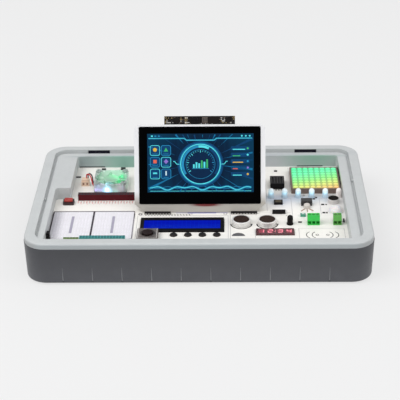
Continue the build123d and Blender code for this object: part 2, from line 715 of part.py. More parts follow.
def computer_board():
    under = COMPUTER_TOP - COMPUTER_THICKNESS
    x = (computer_left(), COMPUTER_RIGHT)
    board = span(x, (computer_front(), COMPUTER_BACK), (under, COMPUTER_TOP))
    board -= [post(i, j, 0, BOARD_UNDER, SPACER_BORE) for i, j in computer_corners()]
    left, front, top = computer_left(), computer_front(), COMPUTER_TOP
    board += brick(left + PROCESSOR_PLACE[0], front + PROCESSOR_PLACE[1], top, PROCESSOR)
    memory_x = left + PROCESSOR_PLACE[0] + MEMORY_STEP
    board += brick(memory_x, front + PROCESSOR_PLACE[1], top, MEMORY)
    return board + brick(left + HEADER_PLACE[0], front + HEADER_PLACE[1], top, HEADER)


def usb_ports():
    ports = []
    for low, high in port_spans()[:2]:
        z = (COMPUTER_TOP, COMPUTER_TOP + USB_HEIGHT)
        port = span((PORT_FACE - USB_DEPTH, PORT_FACE), (low, high), z)
        for level in (0, 1):
            floor = z[0] + PORT_SKIN + level * USB_HEIGHT / 2
            mouth = (floor, floor + USB_HEIGHT / 2 - 2 * PORT_SKIN)
            inner = (low + PORT_SKIN, high - PORT_SKIN)
            port -= span((PORT_FACE - USB_DEPTH / 2, PORT_FACE + PAST), inner, mouth)
            blade_z = (mouth[1] - PORT_SKIN - BLADE_THICKNESS_USB, mouth[1] - PORT_SKIN)
            blade_x = (PORT_FACE - USB_DEPTH / 2 - PAST, PORT_FACE - PAST)
            port += span(blade_x, (low + BLADE_INSET, high - BLADE_INSET), blade_z)
        ports.append(port)
    return together(ports)


def network_jack():
    low, high = port_spans()[2]
    z = (COMPUTER_TOP, COMPUTER_TOP + JACK_HEIGHT)
    jack = span((PORT_FACE - JACK_DEPTH, PORT_FACE), (low, high), z)
    middle, sill = (low + high) / 2, z[0] + JACK_SILL
    mouth_x = (PORT_FACE - JACK_DEPTH / 2, PORT_FACE + PAST)
    mouth_y = (middle - JACK_MOUTH[0] / 2, middle + JACK_MOUTH[0] / 2)
    jack -= span(mouth_x, mouth_y, (sill, sill + JACK_MOUTH[1]))
    tab_y = (middle - JACK_TAB[0] / 2, middle + JACK_TAB[0] / 2)
    return jack - span(mouth_x, tab_y, (sill - JACK_TAB[1], sill + JACK_TAB[1]))


def power_inlet():
    low = BOARD_UNDER - INLET_HEIGHT
    x = (INLET_X - INLET_WIDTH / 2, INLET_X + INLET_WIDTH / 2)
    body = span(x, (INLET_FACE - INLET_DEPTH, INLET_FACE), (low, BOARD_UNDER))
    mouth = Pos(INLET_X, INLET_FACE, low + INLET_HEIGHT / 2) * Rot(90, 0, 0)
    body -= mouth * Cylinder(INLET_BORE, 2 * INLET_SINK)
    body += mouth * Pos(0, 0, INLET_PIN_BACK + INLET_SINK / 2) * Cylinder(INLET_PIN, INLET_SINK)
    return body


def spacers():
    low = COMPUTER_TOP - COMPUTER_THICKNESS
    tubes = []
    for x, y in computer_corners():
        tube = post(x, y, FLOOR_TOP, low, SPACER_RADIUS)
        tubes.append(tube - post(x, y, 0, low + PAST, SPACER_BORE))
    for x in MODULE_SPACER_X:
        for y in MODULE_SPACER_Y:
            tube = post(x, y, MODULE_TOP, BOARD_UNDER, MODULE_SPACER_RADIUS)
            tubes.append(tube - post(x, y, 0, BOARD_TOP, SPACER_BORE))
    return together(tubes)


# Module board and what stands on it
def module_board():
    z = (MODULE_TOP - MODULE_THICKNESS, MODULE_TOP)
    board = span((MODULE_LEFT, MODULE_RIGHT), (MODULE_FRONT, MODULE_BACK), z)
    for x in MODULE_SPACER_X:
        board -= [post(x, y, 0, BOARD_UNDER, SPACER_BORE) for y in MODULE_SPACER_Y]
    return board


def display_bezel():
    top = BOARD_TOP + BEZEL_PROUD
    outer = brick(BEZEL_X, BEZEL_Y, MODULE_TOP, (BEZEL_LENGTH, BEZEL_WIDTH, top - MODULE_TOP))
    outer = fillet(outer.faces().sort_by(Axis.Z)[-1].edges(), BEZEL_SKIN / 2)
    size = (BEZEL_LENGTH - 2 * BEZEL_SKIN, BEZEL_WIDTH - 2 * BEZEL_SKIN)
    hollow = brick(BEZEL_X, BEZEL_Y, 0, (size[0], size[1], top - BEZEL_SKIN))
    view_size = (BEZEL_LENGTH - 2 * BEZEL_BAR, BEZEL_WIDTH - 2 * BEZEL_RAIL, top)
    view = brick(BEZEL_X, BEZEL_Y, MODULE_TOP, view_size)
    return outer - hollow - view


def display_pane():
    top = BOARD_TOP + BEZEL_PROUD - BEZEL_SKIN - PANE_GAP
    inner = (BEZEL_LENGTH - 2 * BEZEL_SKIN - 2 * PANE_GAP, BEZEL_WIDTH - 2 * BEZEL_SKIN - 2 * PANE_GAP)
    return brick(BEZEL_X, BEZEL_Y, top - PANE_THICKNESS, (inner[0], inner[1], PANE_THICKNESS))


def key_bases():
    bases = []
    top = MODULE_TOP + KEY_BASE_HEIGHT
    for x in KEY_X:
        base = brick(x, KEY_Y, MODULE_TOP, (KEY_BASE, KEY_BASE, KEY_BASE_HEIGHT))
        sink = KEY_STEM_DEPTH + 2 * KEY_TRAVEL
        bases.append(base - post(x, KEY_Y, top - sink, top + PAST, KEY_STEM_RADIUS + KEY_FIT))
    return together(bases)


def key_cap(x):
    base_top = MODULE_TOP + KEY_BASE_HEIGHT
    top = BOARD_TOP + KEY_PROUD
    cap = post(x, KEY_Y, base_top + KEY_CAP_GAP, top, KEY_CAP_RADIUS)
    cap = fillet(cap.edges().sort_by(Axis.Z)[-1], KEY_PROUD / 2)
    return cap + post(x, KEY_Y, base_top - KEY_STEM_DEPTH, base_top + KEY_CAP_GAP, KEY_STEM_RADIUS)


def sensor_cans():
    cans = []
    top = BOARD_TOP + CAN_PROUD
    for x in CAN_X:
        can = post(x, CAN_Y, MODULE_TOP, top, CAN_RADIUS)
        can = fillet(can.edges().sort_by(Axis.Z)[-1], CAN_LIP / 2)
        sink = MESH_THICKNESS + MESH_SUNK
        cans.append(can - post(x, CAN_Y, top - sink, top + PAST, CAN_RADIUS - CAN_LIP))
    return together(cans)


def can_meshes():
    low = BOARD_TOP + CAN_PROUD - MESH_SUNK - MESH_THICKNESS
    radius = CAN_RADIUS - CAN_LIP - PIN_FIT
    return together(post(x, CAN_Y, low, low + MESH_THICKNESS, radius) for x in CAN_X)


def digit_display():
    top = BOARD_TOP + DIGITS_PROUD
    body = brick(DIGITS_X, DIGITS_Y, MODULE_TOP, (DIGITS_SIZE[0], DIGITS_SIZE[1], top - MODULE_TOP))
    return chamfer(body.faces().sort_by(Axis.Z)[-1].edges(), 0.2)


# Push button and thumb stick
def reset_base():
    base = brick(RESET_X, RESET_Y, BOARD_TOP, RESET_BASE)
    base = chamfer(base.edges().filter_by(Axis.Z), 0.6)
    well = (RESET_STEM[0] + 2 * RESET_FIT, RESET_STEM[1] + 2 * RESET_FIT, RESET_BASE[2])
    return base - brick(RESET_X, RESET_Y, BOARD_TOP + RESET_GAP, well)


def reset_cap():
    low = BOARD_TOP + RESET_BASE[2] + RESET_GAP
    cap = brick(RESET_X, RESET_Y, low, RESET_CAP)
    cap = fillet(cap.edges().filter_by(Axis.Z), 1.2)
    cap = fillet(cap.faces().sort_by(Axis.Z)[-1].edges(), 0.5)
    return cap + brick(RESET_X, RESET_Y, low - RESET_STEM[2], RESET_STEM)


def stick_case():
    case = brick(STICK_X, STICK_Y, BOARD_TOP, (STICK_BASE, STICK_BASE, STICK_HEIGHT))
    case = chamfer(case.faces().sort_by(Axis.Z)[-1].edges(), 0.6)
    inner = STICK_BASE - 2 * STICK_WALL
    hollow = (inner, inner, STICK_HEIGHT - 2 * STICK_SKIN)
    case -= brick(STICK_X, STICK_Y, BOARD_TOP + STICK_SKIN, hollow)
    return case - post(STICK_X, STICK_Y, BOARD_TOP + STICK_SKIN, CASE_HEIGHT, STICK_OPENING)


def carriage_low():
    return BOARD_TOP + STICK_SKIN + STICK_GAP


def stick_carriage():
    width = STICK_BASE - 2 * STICK_WALL - 2 * STICK_GAP
    plate = brick(STICK_X, STICK_Y, carriage_low(), (CARRIAGE_LENGTH, width, CARRIAGE_THICKNESS))
    way = 2 * (STICK_STEM + STICK_TRAVEL + STICK_GAP)
    slot = (2 * (STICK_STEM + KEY_FIT), way, 2 * CARRIAGE_THICKNESS)
    return plate - brick(STICK_X, STICK_Y, carriage_low() - CARRIAGE_THICKNESS / 2, slot)


def stick_cap():
    flange_low = carriage_low() + CARRIAGE_THICKNESS + STICK_GAP
    cap_low = BOARD_TOP + STICK_HEIGHT + STICK_GAP
    stem = post(STICK_X, STICK_Y, carriage_low(), cap_low, STICK_STEM)
    flange = post(STICK_X, STICK_Y, flange_low, flange_low + STICK_SKIN, STICK_FLANGE)
    cap = post(STICK_X, STICK_Y, cap_low, cap_low + STICK_CAP_HEIGHT, STICK_CAP_RADIUS)
    cap = fillet(cap.edges().sort_by(Axis.Z)[-1], STICK_CAP_HEIGHT / 3)
    return stem + flange + cap


# Fan
def fan_corners():
    step = FAN_HOLE_SPACING / 2
    return [(FAN_X + i * step, FAN_Y + j * step) for i in (-1, 1) for j in (-1, 1)]


def fan_frame():
    outline = Pos(FAN_X, FAN_Y) * RectangleRounded(FAN_SIZE, FAN_SIZE, FAN_CORNER)
    frame = slab(outline, BOARD_TOP, BOARD_TOP + FAN_HEIGHT)
    frame -= post(FAN_X, FAN_Y, 0, CASE_HEIGHT, FAN_BORE)
    seat_top = BOARD_TOP + FAN_SPOKE_THICKNESS
    frame += post(FAN_X, FAN_Y, BOARD_TOP, seat_top, FAN_SEAT)
    for index in range(4):
        arm = Box(FAN_BORE, FAN_SPOKE, FAN_SPOKE_THICKNESS)
        reach = Pos(FAN_SEAT / 2 + FAN_BORE / 2, 0, FAN_SPOKE_THICKNESS / 2)
        frame += Pos(FAN_X, FAN_Y, BOARD_TOP) * Rot(0, 0, 45 + 90 * index) * reach * arm
    holes = [post(x, y, 0, CASE_HEIGHT, FAN_HOLE) for x, y in fan_corners()]
    return frame - holes


def rotor_low():
    return BOARD_TOP + FAN_SPOKE_THICKNESS + ROTOR_LIFT


def rotor_top():
    return BOARD_TOP + FAN_HEIGHT - ROTOR_TOP_GAP


def fan_rotor():
    height = rotor_top() - rotor_low()
    hub = post(FAN_X, FAN_Y, rotor_low(), rotor_top(), ROTOR_HUB)
    hub = fillet(hub.edges().sort_by(Axis.Z)[-1], 0.6)
    blade_length = ROTOR_TIP - ROTOR_HUB + 1
    blade = Box(blade_length, BLADE_THICKNESS, height / cos(radians(BLADE_PITCH)))
    blade = Pos(ROTOR_HUB - 1 + blade_length / 2, 0, 0) * Rot(BLADE_PITCH, 0, 0) * blade
    room = post(FAN_X, FAN_Y, rotor_low(), rotor_top() - ROTOR_LIFT, ROTOR_TIP)
    middle = Pos(FAN_X, FAN_Y, (rotor_low() + rotor_top()) / 2)
    for index in range(BLADE_COUNT):
        turned = middle * Rot(0, 0, 360 * index / BLADE_COUNT) * blade
        hub += turned & room
    hub -= post(FAN_X, FAN_Y, 0, rotor_top() - ROTOR_SKIN, ROTOR_HUB - ROTOR_SKIN)
    return hub + post(FAN_X, FAN_Y, rotor_low() - ROTOR_LIFT / 2, rotor_top() - ROTOR_SKIN, SHAFT_RADIUS)


def fan_core():
    low = BOARD_TOP + FAN_SPOKE_THICKNESS
    core = post(FAN_X, FAN_Y, low, rotor_top() - ROTOR_SKIN - CORE_TOP_GAP, CORE_RADIUS)
    for index in range(4):
        slot = Pos(CORE_RADIUS, 0, 0) * Box(CORE_RADIUS, 1.0, 2 * CASE_HEIGHT)
        core -= Pos(FAN_X, FAN_Y, 0) * Rot(0, 0, 90 * index) * slot
    core += post(FAN_X, FAN_Y, low, low + 0.7, ROTOR_HUB - ROTOR_SKIN - CORE_TOP_GAP)
    return core - post(FAN_X, FAN_Y, low, CASE_HEIGHT, SHAFT_RADIUS + SHAFT_FIT)


def fan_screws():
    screws = []
    top = BOARD_TOP + FAN_HEIGHT
    for x, y in fan_corners():
        head = post(x, y, top, top + FAN_SCREW_HEAD_HEIGHT, FAN_SCREW_HEAD)
        head = fillet(head.edges().sort_by(Axis.Z)[-1], 0.5)
        for size in ((3.2, 0.7, 1.6), (0.7, 3.2, 1.6)):
            head -= brick(x, y, top + FAN_SCREW_HEAD_HEIGHT - 0.7, size)
        screws.append(head + post(x, y, BOARD_UNDER, top, FAN_HOLE - PIN_FIT))
    return together(screws)


def fan_plug():
    shroud = brick(PLUG_X, PLUG_Y, BOARD_TOP, PLUG_SHROUD)
    slots = []
    for side in (-1, 1):
        mouth = (1.6, 2.4, 2.6)
        slots.append(brick(PLUG_X + side * 1.7, PLUG_Y - PLUG_SHROUD[1] / 2, BOARD_TOP + 1, mouth))
    plug = brick(PLUG_X, PLUG_Y, BOARD_TOP + PLUG_SHROUD[2], PLUG_BODY)
    plug = chamfer(plug.faces().sort_by(Axis.Z)[-1].edges(), 0.4)
    return together([shroud - slots, plug])


def lead(route):
    """One fan lead: up out of the plug, over, and down into the fan's frame."""
    radii = []
    for a, b, c in zip(route, route[1:], route[2:]):
        into, out = Vector(*b) - Vector(*a), Vector(*c) - Vector(*b)
        half_turn = radians(into.get_angle(out)) / 2
        radii.append(0.45 * min(into.length, out.length) / tan(half_turn))
    path = FilletPolyline(*route, radius=radii)
    start = Plane(origin=path @ 0, z_dir=path % 0)
    tube = sweep(start * Circle(LEAD_DIAMETER / 2), path=path)
    print("lead radii", [round(r, 2) for r in radii], "length", round(path.length, 1))
    print("lead volume", round(tube.volume, 2), round(path.length * pi * LEAD_DIAMETER ** 2 / 4, 2))
    return tube


# Sockets and breadboards
def pin_socket(ways, rows, height, place):
    x, y = place
    body = brick(x, y, BOARD_TOP, (ways * PIN_PITCH, rows * PIN_PITCH, height))
    places = GridLocations(PIN_PITCH, PIN_PITCH, ways, rows)
    top = BOARD_TOP + height
    pins = Sketch() + [place * Rectangle(PIN_HOLE, PIN_HOLE) for place in places]
    return body - Pos(x, y, top - PIN_HOLE_DEPTH) * extrude(pins, PIN_HOLE_DEPTH + PAST)


def comb(x):
    length = COMB_WAYS * PIN_PITCH
    body = brick(x, COMB_Y, BOARD_TOP, (length, COMB_WIDTH, COMB_HEIGHT))
    for index in range(COMB_WAYS - 1):
        notch_x = x + (index - COMB_WAYS / 2 + 1) * PIN_PITCH
        body -= brick(notch_x, COMB_Y - COMB_WIDTH / 2, BOARD_TOP + 0.5, (0.7, 1.0, COMB_HEIGHT))
    return body


def black_sockets():
    black_place = (WELL_LEFT + BLACK_FROM_WALL, BLACK_Y)
    return together([pin_socket(1, 2, TALL_HEIGHT, black_place)] + [comb(x) for x in COMB_X])


def breadboard_low():
    return BOARD_TOP + BREADBOARD_PROUD - BREADBOARD_SIZE[2]


def breadboard(x):
    top = BOARD_TOP + BREADBOARD_PROUD
    body = brick(x, BREADBOARD_Y, breadboard_low(), BREADBOARD_SIZE)
    body = fillet(body.edges().filter_by(Axis.Z), 0.8)
    body -= brick(x, BREADBOARD_Y, top - TRENCH[2], TRENCH)
    squares = Sketch()
    for side in (-1, 1):
        bank = side * (BREADBOARD_INNER + (BREADBOARD_COLUMNS - 1) * PIN_PITCH / 2)
        places = GridLocations(PIN_PITCH, PIN_PITCH, BREADBOARD_COLUMNS, BREADBOARD_ROWS)
        hole = Rectangle(BREADBOARD_HOLE, BREADBOARD_HOLE)
        squares += [Pos(bank, 0) * place * hole for place in places]
    return body - Pos(x, BREADBOARD_Y, top - PIN_HOLE_DEPTH) * extrude(squares, PIN_HOLE_DEPTH + PAST)


# Lamps and sensors
def lamp(x, y):
    body = post(x, y, BOARD_TOP, BOARD_TOP + LAMP_HEIGHT - LAMP_RADIUS, LAMP_RADIUS)
    body += Pos(x, y, BOARD_TOP + LAMP_HEIGHT - LAMP_RADIUS) * Sphere(LAMP_RADIUS)
    return body + post(x, y, BOARD_TOP, BOARD_TOP + LAMP_FLANGE_HEIGHT, LAMP_FLANGE)


def lamps():
    return together(lamp(LAMP_FIRST_X + i * LAMP_PITCH, LAMP_Y) for i in range(LAMP_COUNT))


def matrix_body():
    body = brick(MATRIX_X, MATRIX_Y, BOARD_TOP, (MATRIX_SIZE, MATRIX_SIZE, MATRIX_HEIGHT))
    body = fillet(body.edges().filter_by(Axis.Z), 1.0)
    pocket = MATRIX_FACE + 2 * PIN_FIT
    top = BOARD_TOP + MATRIX_HEIGHT
    return body - brick(MATRIX_X, MATRIX_Y, top - MATRIX_POCKET, (pocket, pocket, 2 * MATRIX_POCKET))


def matrix_plate():
    low = BOARD_TOP + MATRIX_HEIGHT - MATRIX_POCKET
    plate = brick(MATRIX_X, MATRIX_Y, low, (MATRIX_FACE, MATRIX_FACE, MATRIX_PLATE))
    pitch = MATRIX_FACE / MATRIX_COUNT
    places = GridLocations(pitch, pitch, MATRIX_COUNT, MATRIX_COUNT)
    lenses = Sketch() + [place * Rectangle(MATRIX_LENS, MATRIX_LENS) for place in places]
    return plate + Pos(MATRIX_X, MATRIX_Y, low + MATRIX_PLATE) * extrude(lenses, MATRIX_LENS_HEIGHT)


def humidity_sensor():
    body = brick(HUMIDITY_X, HUMIDITY_Y, BOARD_TOP, HUMIDITY_SIZE)
    top = BOARD_TOP + HUMIDITY_SIZE[2]
    pitch = HUMIDITY_SIZE[0] / (HUMIDITY_GROOVES + 1)
    for index in range(HUMIDITY_GROOVES):
        x = HUMIDITY_X + (index - (HUMIDITY_GROOVES - 1) / 2) * pitch
        body -= brick(x, HUMIDITY_Y, top - 1.2, (0.8, HUMIDITY_SIZE[1] - 3, 2))
    front = HUMIDITY_Y - HUMIDITY_SIZE[1] / 2
    for index in range(HUMIDITY_LEGS):
        x = HUMIDITY_X + (index - (HUMIDITY_LEGS - 1) / 2) * PIN_PITCH
        body += span((x - 0.4, x + 0.4), (front - 2.6, front + PAST), (BOARD_TOP, BOARD_TOP + 0.8))
    return body


def relay():
    body = brick(RELAY_X, RELAY_Y, BOARD_TOP, RELAY_SIZE)
    return chamfer(body.faces().sort_by(Axis.Z)[-1].edges(), 0.5)


def light_sensor():
    body = post(EYE_X, EYE_Y, BOARD_TOP, BOARD_TOP + EYE_HEIGHT, EYE_RADIUS)
    body = fillet(body.edges().sort_by(Axis.Z)[-1], EYE_RADIUS * 0.6)
    for turn in (-EYE_LEG_SPLAY, 0, EYE_LEG_SPLAY):
        middle = EYE_RADIUS / 2 + EYE_LEG_LENGTH / 2
        leg = Pos(0, -middle, EYE_LEG / 2) * Box(EYE_LEG, EYE_LEG_LENGTH, EYE_LEG)
        body += Pos(EYE_X, EYE_Y, BOARD_TOP) * Rot(0, 0, turn) * leg
    return body


def terminal_block(x, ways):
    """Screw terminal: wire mouths in front, screw wells on top."""
    width = ways * TERMINAL_PITCH
    lean = TERMINAL_DEPTH * 0.3
    front, back = TERMINAL_FRONT, TERMINAL_FRONT + TERMINAL_DEPTH
    base, top = BOARD_TOP, BOARD_TOP + TERMINAL_HEIGHT
    corners = [(front, base), (back, base), (back, top), (front + lean, top)]
    corners.append((front, base + TERMINAL_LIP))
    side = Plane.YZ * make_face(Polyline(*corners, close=True))
    block = Pos(x - width / 2, 0, 0) * extrude(side, width)
    for index in range(ways):
        way_x = x + (index - (ways - 1) / 2) * TERMINAL_PITCH
        block -= brick(way_x, front, base + TERMINAL_SILL, TERMINAL_MOUTH)
        block -= post(way_x, screw_y(), top - TERMINAL_SINK, top + PAST, TERMINAL_SCREW + PIN_FIT)
    return block


def terminals():
    return list(zip(TERMINAL_X, (LEFT_TERMINAL_WAYS, RIGHT_TERMINAL_WAYS)))


def screw_y():
    return TERMINAL_FRONT + TERMINAL_DEPTH * 0.66


def terminal_blocks():
    return together(terminal_block(x, ways) for x, ways in terminals())


def terminal_screws():
    screws = []
    low = BOARD_TOP + TERMINAL_HEIGHT - TERMINAL_SINK
    for x, ways in terminals():
        for index in range(ways):
            way_x = x + (index - (ways - 1) / 2) * TERMINAL_PITCH
            screw = post(way_x, screw_y(), low, low + 1.8, TERMINAL_SCREW)
            screws.append(screw - brick(way_x, screw_y(), low + 1.1, (3, 0.5, 1.4)))
    return together(screws)


def microphone():
    top = BOARD_TOP + MICROPHONE_HEIGHT
    can = post(MICROPHONE_X, MICROPHONE_Y, BOARD_TOP, top, MICROPHONE_RADIUS)
    can = fillet(can.edges().sort_by(Axis.Z)[-1], 0.6)
    return can - post(MICROPHONE_X, MICROPHONE_Y, top - 0.3, top + PAST, MICROPHONE_RADIUS - 1.1)


def motion_lens():
    rise = MOTION_HEIGHT - MOTION_BASE
    foot = MOTION_RADIUS - 0.5
    ball = (foot ** 2 + rise ** 2) / (2 * rise)
    low = BOARD_TOP + MOTION_BASE
    dome = Pos(MOTION_X, MOTION_Y, low + rise - ball) * Sphere(ball)
    dome &= brick(MOTION_X, MOTION_Y, low, (4 * ball, 4 * ball, 2 * ball))
    return dome + post(MOTION_X, MOTION_Y, BOARD_TOP, low, MOTION_RADIUS)


def board_chips():
    chip = brick(CHIP_PLACE[0], CHIP_PLACE[1], BOARD_TOP, CHIP_SIZE)
    tube = Pos(TILT_PLACE[0], TILT_PLACE[1], BOARD_TOP + TILT_RADIUS) * Rot(0, 90, 0)
    tilt = tube * Cylinder(TILT_RADIUS, TILT_LENGTH)
    tilt += brick(TILT_PLACE[0], TILT_PLACE[1], BOARD_TOP, (TILT_LENGTH, 1.4 * TILT_RADIUS, 0.8))
    trimmer = brick(TRIMMER_PLACE[0], TRIMMER_PLACE[1], BOARD_TOP, TRIMMER_SIZE)
    return together([chip, tilt, trimmer])


# Folding screen, drawn flat with the hinge axis on the X axis
def raised(solid):
    """Turns a flat-drawn screen piece up to its rest angle and sets it on its axis."""
    return Pos(0, AXIS_Y, AXIS_Z) * Rot(SCREEN_ANGLE, 0, 0) * solid


def screen_form():
    """Outer form of the closed screen: side profile crossed with the front outline."""
    round_back = -SCREEN_BACK
    nose = (CHIN_END, SCREEN_FRONT - CHIN_NOSE)
    under = (-round_back, 0.0)
    foot = (0.0, SCREEN_BACK)
    half = round_back / 2 ** 0.5
    lines = Polyline(under, nose, (CHIN_END, SCREEN_FRONT), (SCREEN_TOP, SCREEN_FRONT),
                     (SCREEN_TOP, SCREEN_BACK), foot)
    arc = ThreePointArc(foot, (-half, -half), under)
    profile = make_face(Curve() + [lines, arc])
    body = Pos(-2 * SCREEN_HALF, 0, 0) * extrude(Plane.YZ * profile, 4 * SCREEN_HALF)
    corners = [(-CHIN_HALF, CHIN_END), (CHIN_HALF, CHIN_END), (SCREEN_HALF, CHIN_SHOULDER)]
    corners += [(SCREEN_HALF, SCREEN_TOP), (-SCREEN_HALF, SCREEN_TOP), (-SCREEN_HALF, CHIN_SHOULDER)]
    outline = make_face(Polyline(*corners, close=True))
    tops = outline.vertices().group_by(Axis.Y)[-1]
    outline = fillet(tops, SCREEN_CORNER)
    return body & slab(outline, 2 * SCREEN_BACK, 2 * SCREEN_FRONT)


def ear_notches():
    notches = []
    reach = EAR_RADIUS + EAR_GAP
    for side in (-1, 1):
        x = (side * EAR_X - EAR_THICKNESS / 2 - EAR_GAP, side * EAR_X + EAR_THICKNESS / 2 + EAR_GAP)
        notches.append(span(x, (2 * CHIN_END, reach), (2 * SCREEN_BACK, reach)))
    return notches


def pin_span(side):
    half = EAR_THICKNESS / 2 + PIN_REACH
    return (side * EAR_X - half, side * EAR_X + half)


def pin_rod(side, radius):
    low, high = pin_span(side)
    return Pos((low + high) / 2, 0, 0) * Rot(0, 90, 0) * Cylinder(radius, high - low)


def cavity_low():
    return EAR_RADIUS + EAR_GAP + SCREEN_WALL


def screen_cavity():
    x = SCREEN_HALF - SCREEN_WALL
    v = (cavity_low(), SCREEN_TOP - SCREEN_WALL)
    return span((-x, x), v, (SCREEN_BACK + SCREEN_WALL, SCREEN_SPLIT + PAST))


def camera_slot():
    half = CAMERA_SIZE[0] / 2 + CAMERA_SLOT_GAP
    n = (CAMERA_N - CAMERA_SLOT_GAP, CAMERA_N + CAMERA_SIZE[2] + CAMERA_SLOT_GAP)
    return span((-half, half), (SCREEN_TOP - 2 * SCREEN_WALL, SCREEN_TOP + PAST), n)


def screen_layer(low, high):
    return span((-SCREEN_HALF, SCREEN_HALF), (2 * CHIN_END, 2 * SCREEN_TOP), (low, high))


def screen_shell():
    keep = screen_layer(2 * SCREEN_BACK, SCREEN_SPLIT)
    shell = (screen_form() & keep) - screen_cavity() - ear_notches() - camera_slot()
    ledge_v = panel_middle()
    ledge_n = SCREEN_BACK + SCREEN_WALL
    for i in (-1, 1):
        for j in (-1, 1):
            x = i * (DRIVER_SIZE[0] / 2 - DRIVER_FOOT_INSET)
            v = ledge_v + j * (DRIVER_SIZE[1] / 2 - DRIVER_FOOT_INSET)
            shell += post(x, v, ledge_n, ledge_n + DRIVER_LEDGE, DRIVER_FOOT_RADIUS)
    for side in (-1, 1):
        shell -= pin_rod(side, PIN_RADIUS)
    return raised(shell)


def screen_frame():
    keep = screen_layer(SCREEN_SPLIT, 2 * SCREEN_FRONT)
    frame = (screen_form() & keep) - ear_notches()
    half = GLASS_SIZE[0] / 2 + GLASS_GAP
    seat = glass_top() - GLASS_THICKNESS
    low, high = GLASS_LOW - GLASS_GAP, GLASS_LOW + GLASS_SIZE[1] + GLASS_GAP
    frame -= span((-half, half), (low, high), (seat, 2 * SCREEN_FRONT))
    x = PANEL_SIZE[0] / 2 + WINDOW_GAP
    v = PANEL_SIZE[1] / 2 + WINDOW_GAP
    frame -= span((-x, x), (panel_middle() - v, panel_middle() + v), (0, 2 * SCREEN_FRONT))
    return raised(frame)


def glass_top():
    return SCREEN_FRONT + GLASS_PROUD


def panel_middle():
    return cavity_low() + WINDOW_GAP + PANEL_SIZE[1] / 2


def screen_glass():
    seat = glass_top() - GLASS_THICKNESS
    size = (GLASS_SIZE[0], GLASS_SIZE[1], GLASS_THICKNESS)
    glass = brick(0, GLASS_LOW + GLASS_SIZE[1] / 2, seat, size)
    glass = fillet(glass.edges().filter_by(Axis.Z), 1.5)
    return raised(chamfer(glass.faces().sort_by(Axis.Z)[-1].edges(), 0.25))


def display_panel():
    top = glass_top() - GLASS_THICKNESS - PANEL_GAP
    return raised(brick(0, panel_middle(), top - PANEL_SIZE[2], PANEL_SIZE))


def driver_board():
    low = SCREEN_BACK + SCREEN_WALL + DRIVER_LEDGE
    board = brick(0, panel_middle(), low, DRIVER_SIZE)
    chip_x, chip_v = DRIVER_CHIP_PLACE
    return raised(board + brick(chip_x, panel_middle() + chip_v, low + DRIVER_SIZE[2], DRIVER_CHIP))


def hinge_pins():
    return together(raised(pin_rod(side, PIN_RADIUS)) for side in (-1, 1))


def peg_places(side):
    x = side * EAR_X
    return [(x + end * PEG_SPACING / 2, AXIS_Y + PEG_BACK) for end in (-1, 1)]


def hinge_brackets():
    brackets = []
    for side in (-1, 1):
        x = side * EAR_X
        lie = Pos(x, AXIS_Y, AXIS_Z) * Rot(0, 90, 0)
        ear = lie * Cylinder(EAR_RADIUS, EAR_THICKNESS)
        low = BOARD_UNDER - FOOT_PLATE[2]
        ear += brick(x, AXIS_Y, low, (EAR_THICKNESS, 2 * EAR_RADIUS, AXIS_Z - low))
        ear += brick(x, AXIS_Y + FOOT_PLATE_BACK, low, FOOT_PLATE)
        for peg in peg_places(side):
            ear += post(peg[0], peg[1], low, BOARD_TOP, PEG_RADIUS)
        brackets.append(ear - lie * Cylinder(PIN_RADIUS + PIN_FIT, 2 * EAR_THICKNESS))
    return together(brackets)


def camera_board():
    low = CAMERA_TOP - CAMERA_SIZE[1]
    board = brick(0, low + CAMERA_SIZE[1] / 2, CAMERA_N, CAMERA_SIZE)
    top = CAMERA_N + CAMERA_SIZE[2]
    for size, x in CAMERA_CHIPS:
        board += brick(x, lens_v(), top, size)
    return raised(board)


def lens_v():
    return CAMERA_TOP - LENS_INSET


def camera_lens():
    low = CAMERA_N + CAMERA_SIZE[2]
    block = brick(LENS_X, lens_v(), low, (LENS_BLOCK, LENS_BLOCK, LENS_BLOCK_HEIGHT))
    top = low + LENS_BLOCK_HEIGHT
    barrel = post(LENS_X, lens_v(), top, top + LENS_HEIGHT, LENS_RADIUS)
    barrel -= post(LENS_X, lens_v(), top + LENS_HEIGHT / 2, top + 2 * LENS_HEIGHT, LENS_RADIUS / 2)
    return raised(block + barrel)


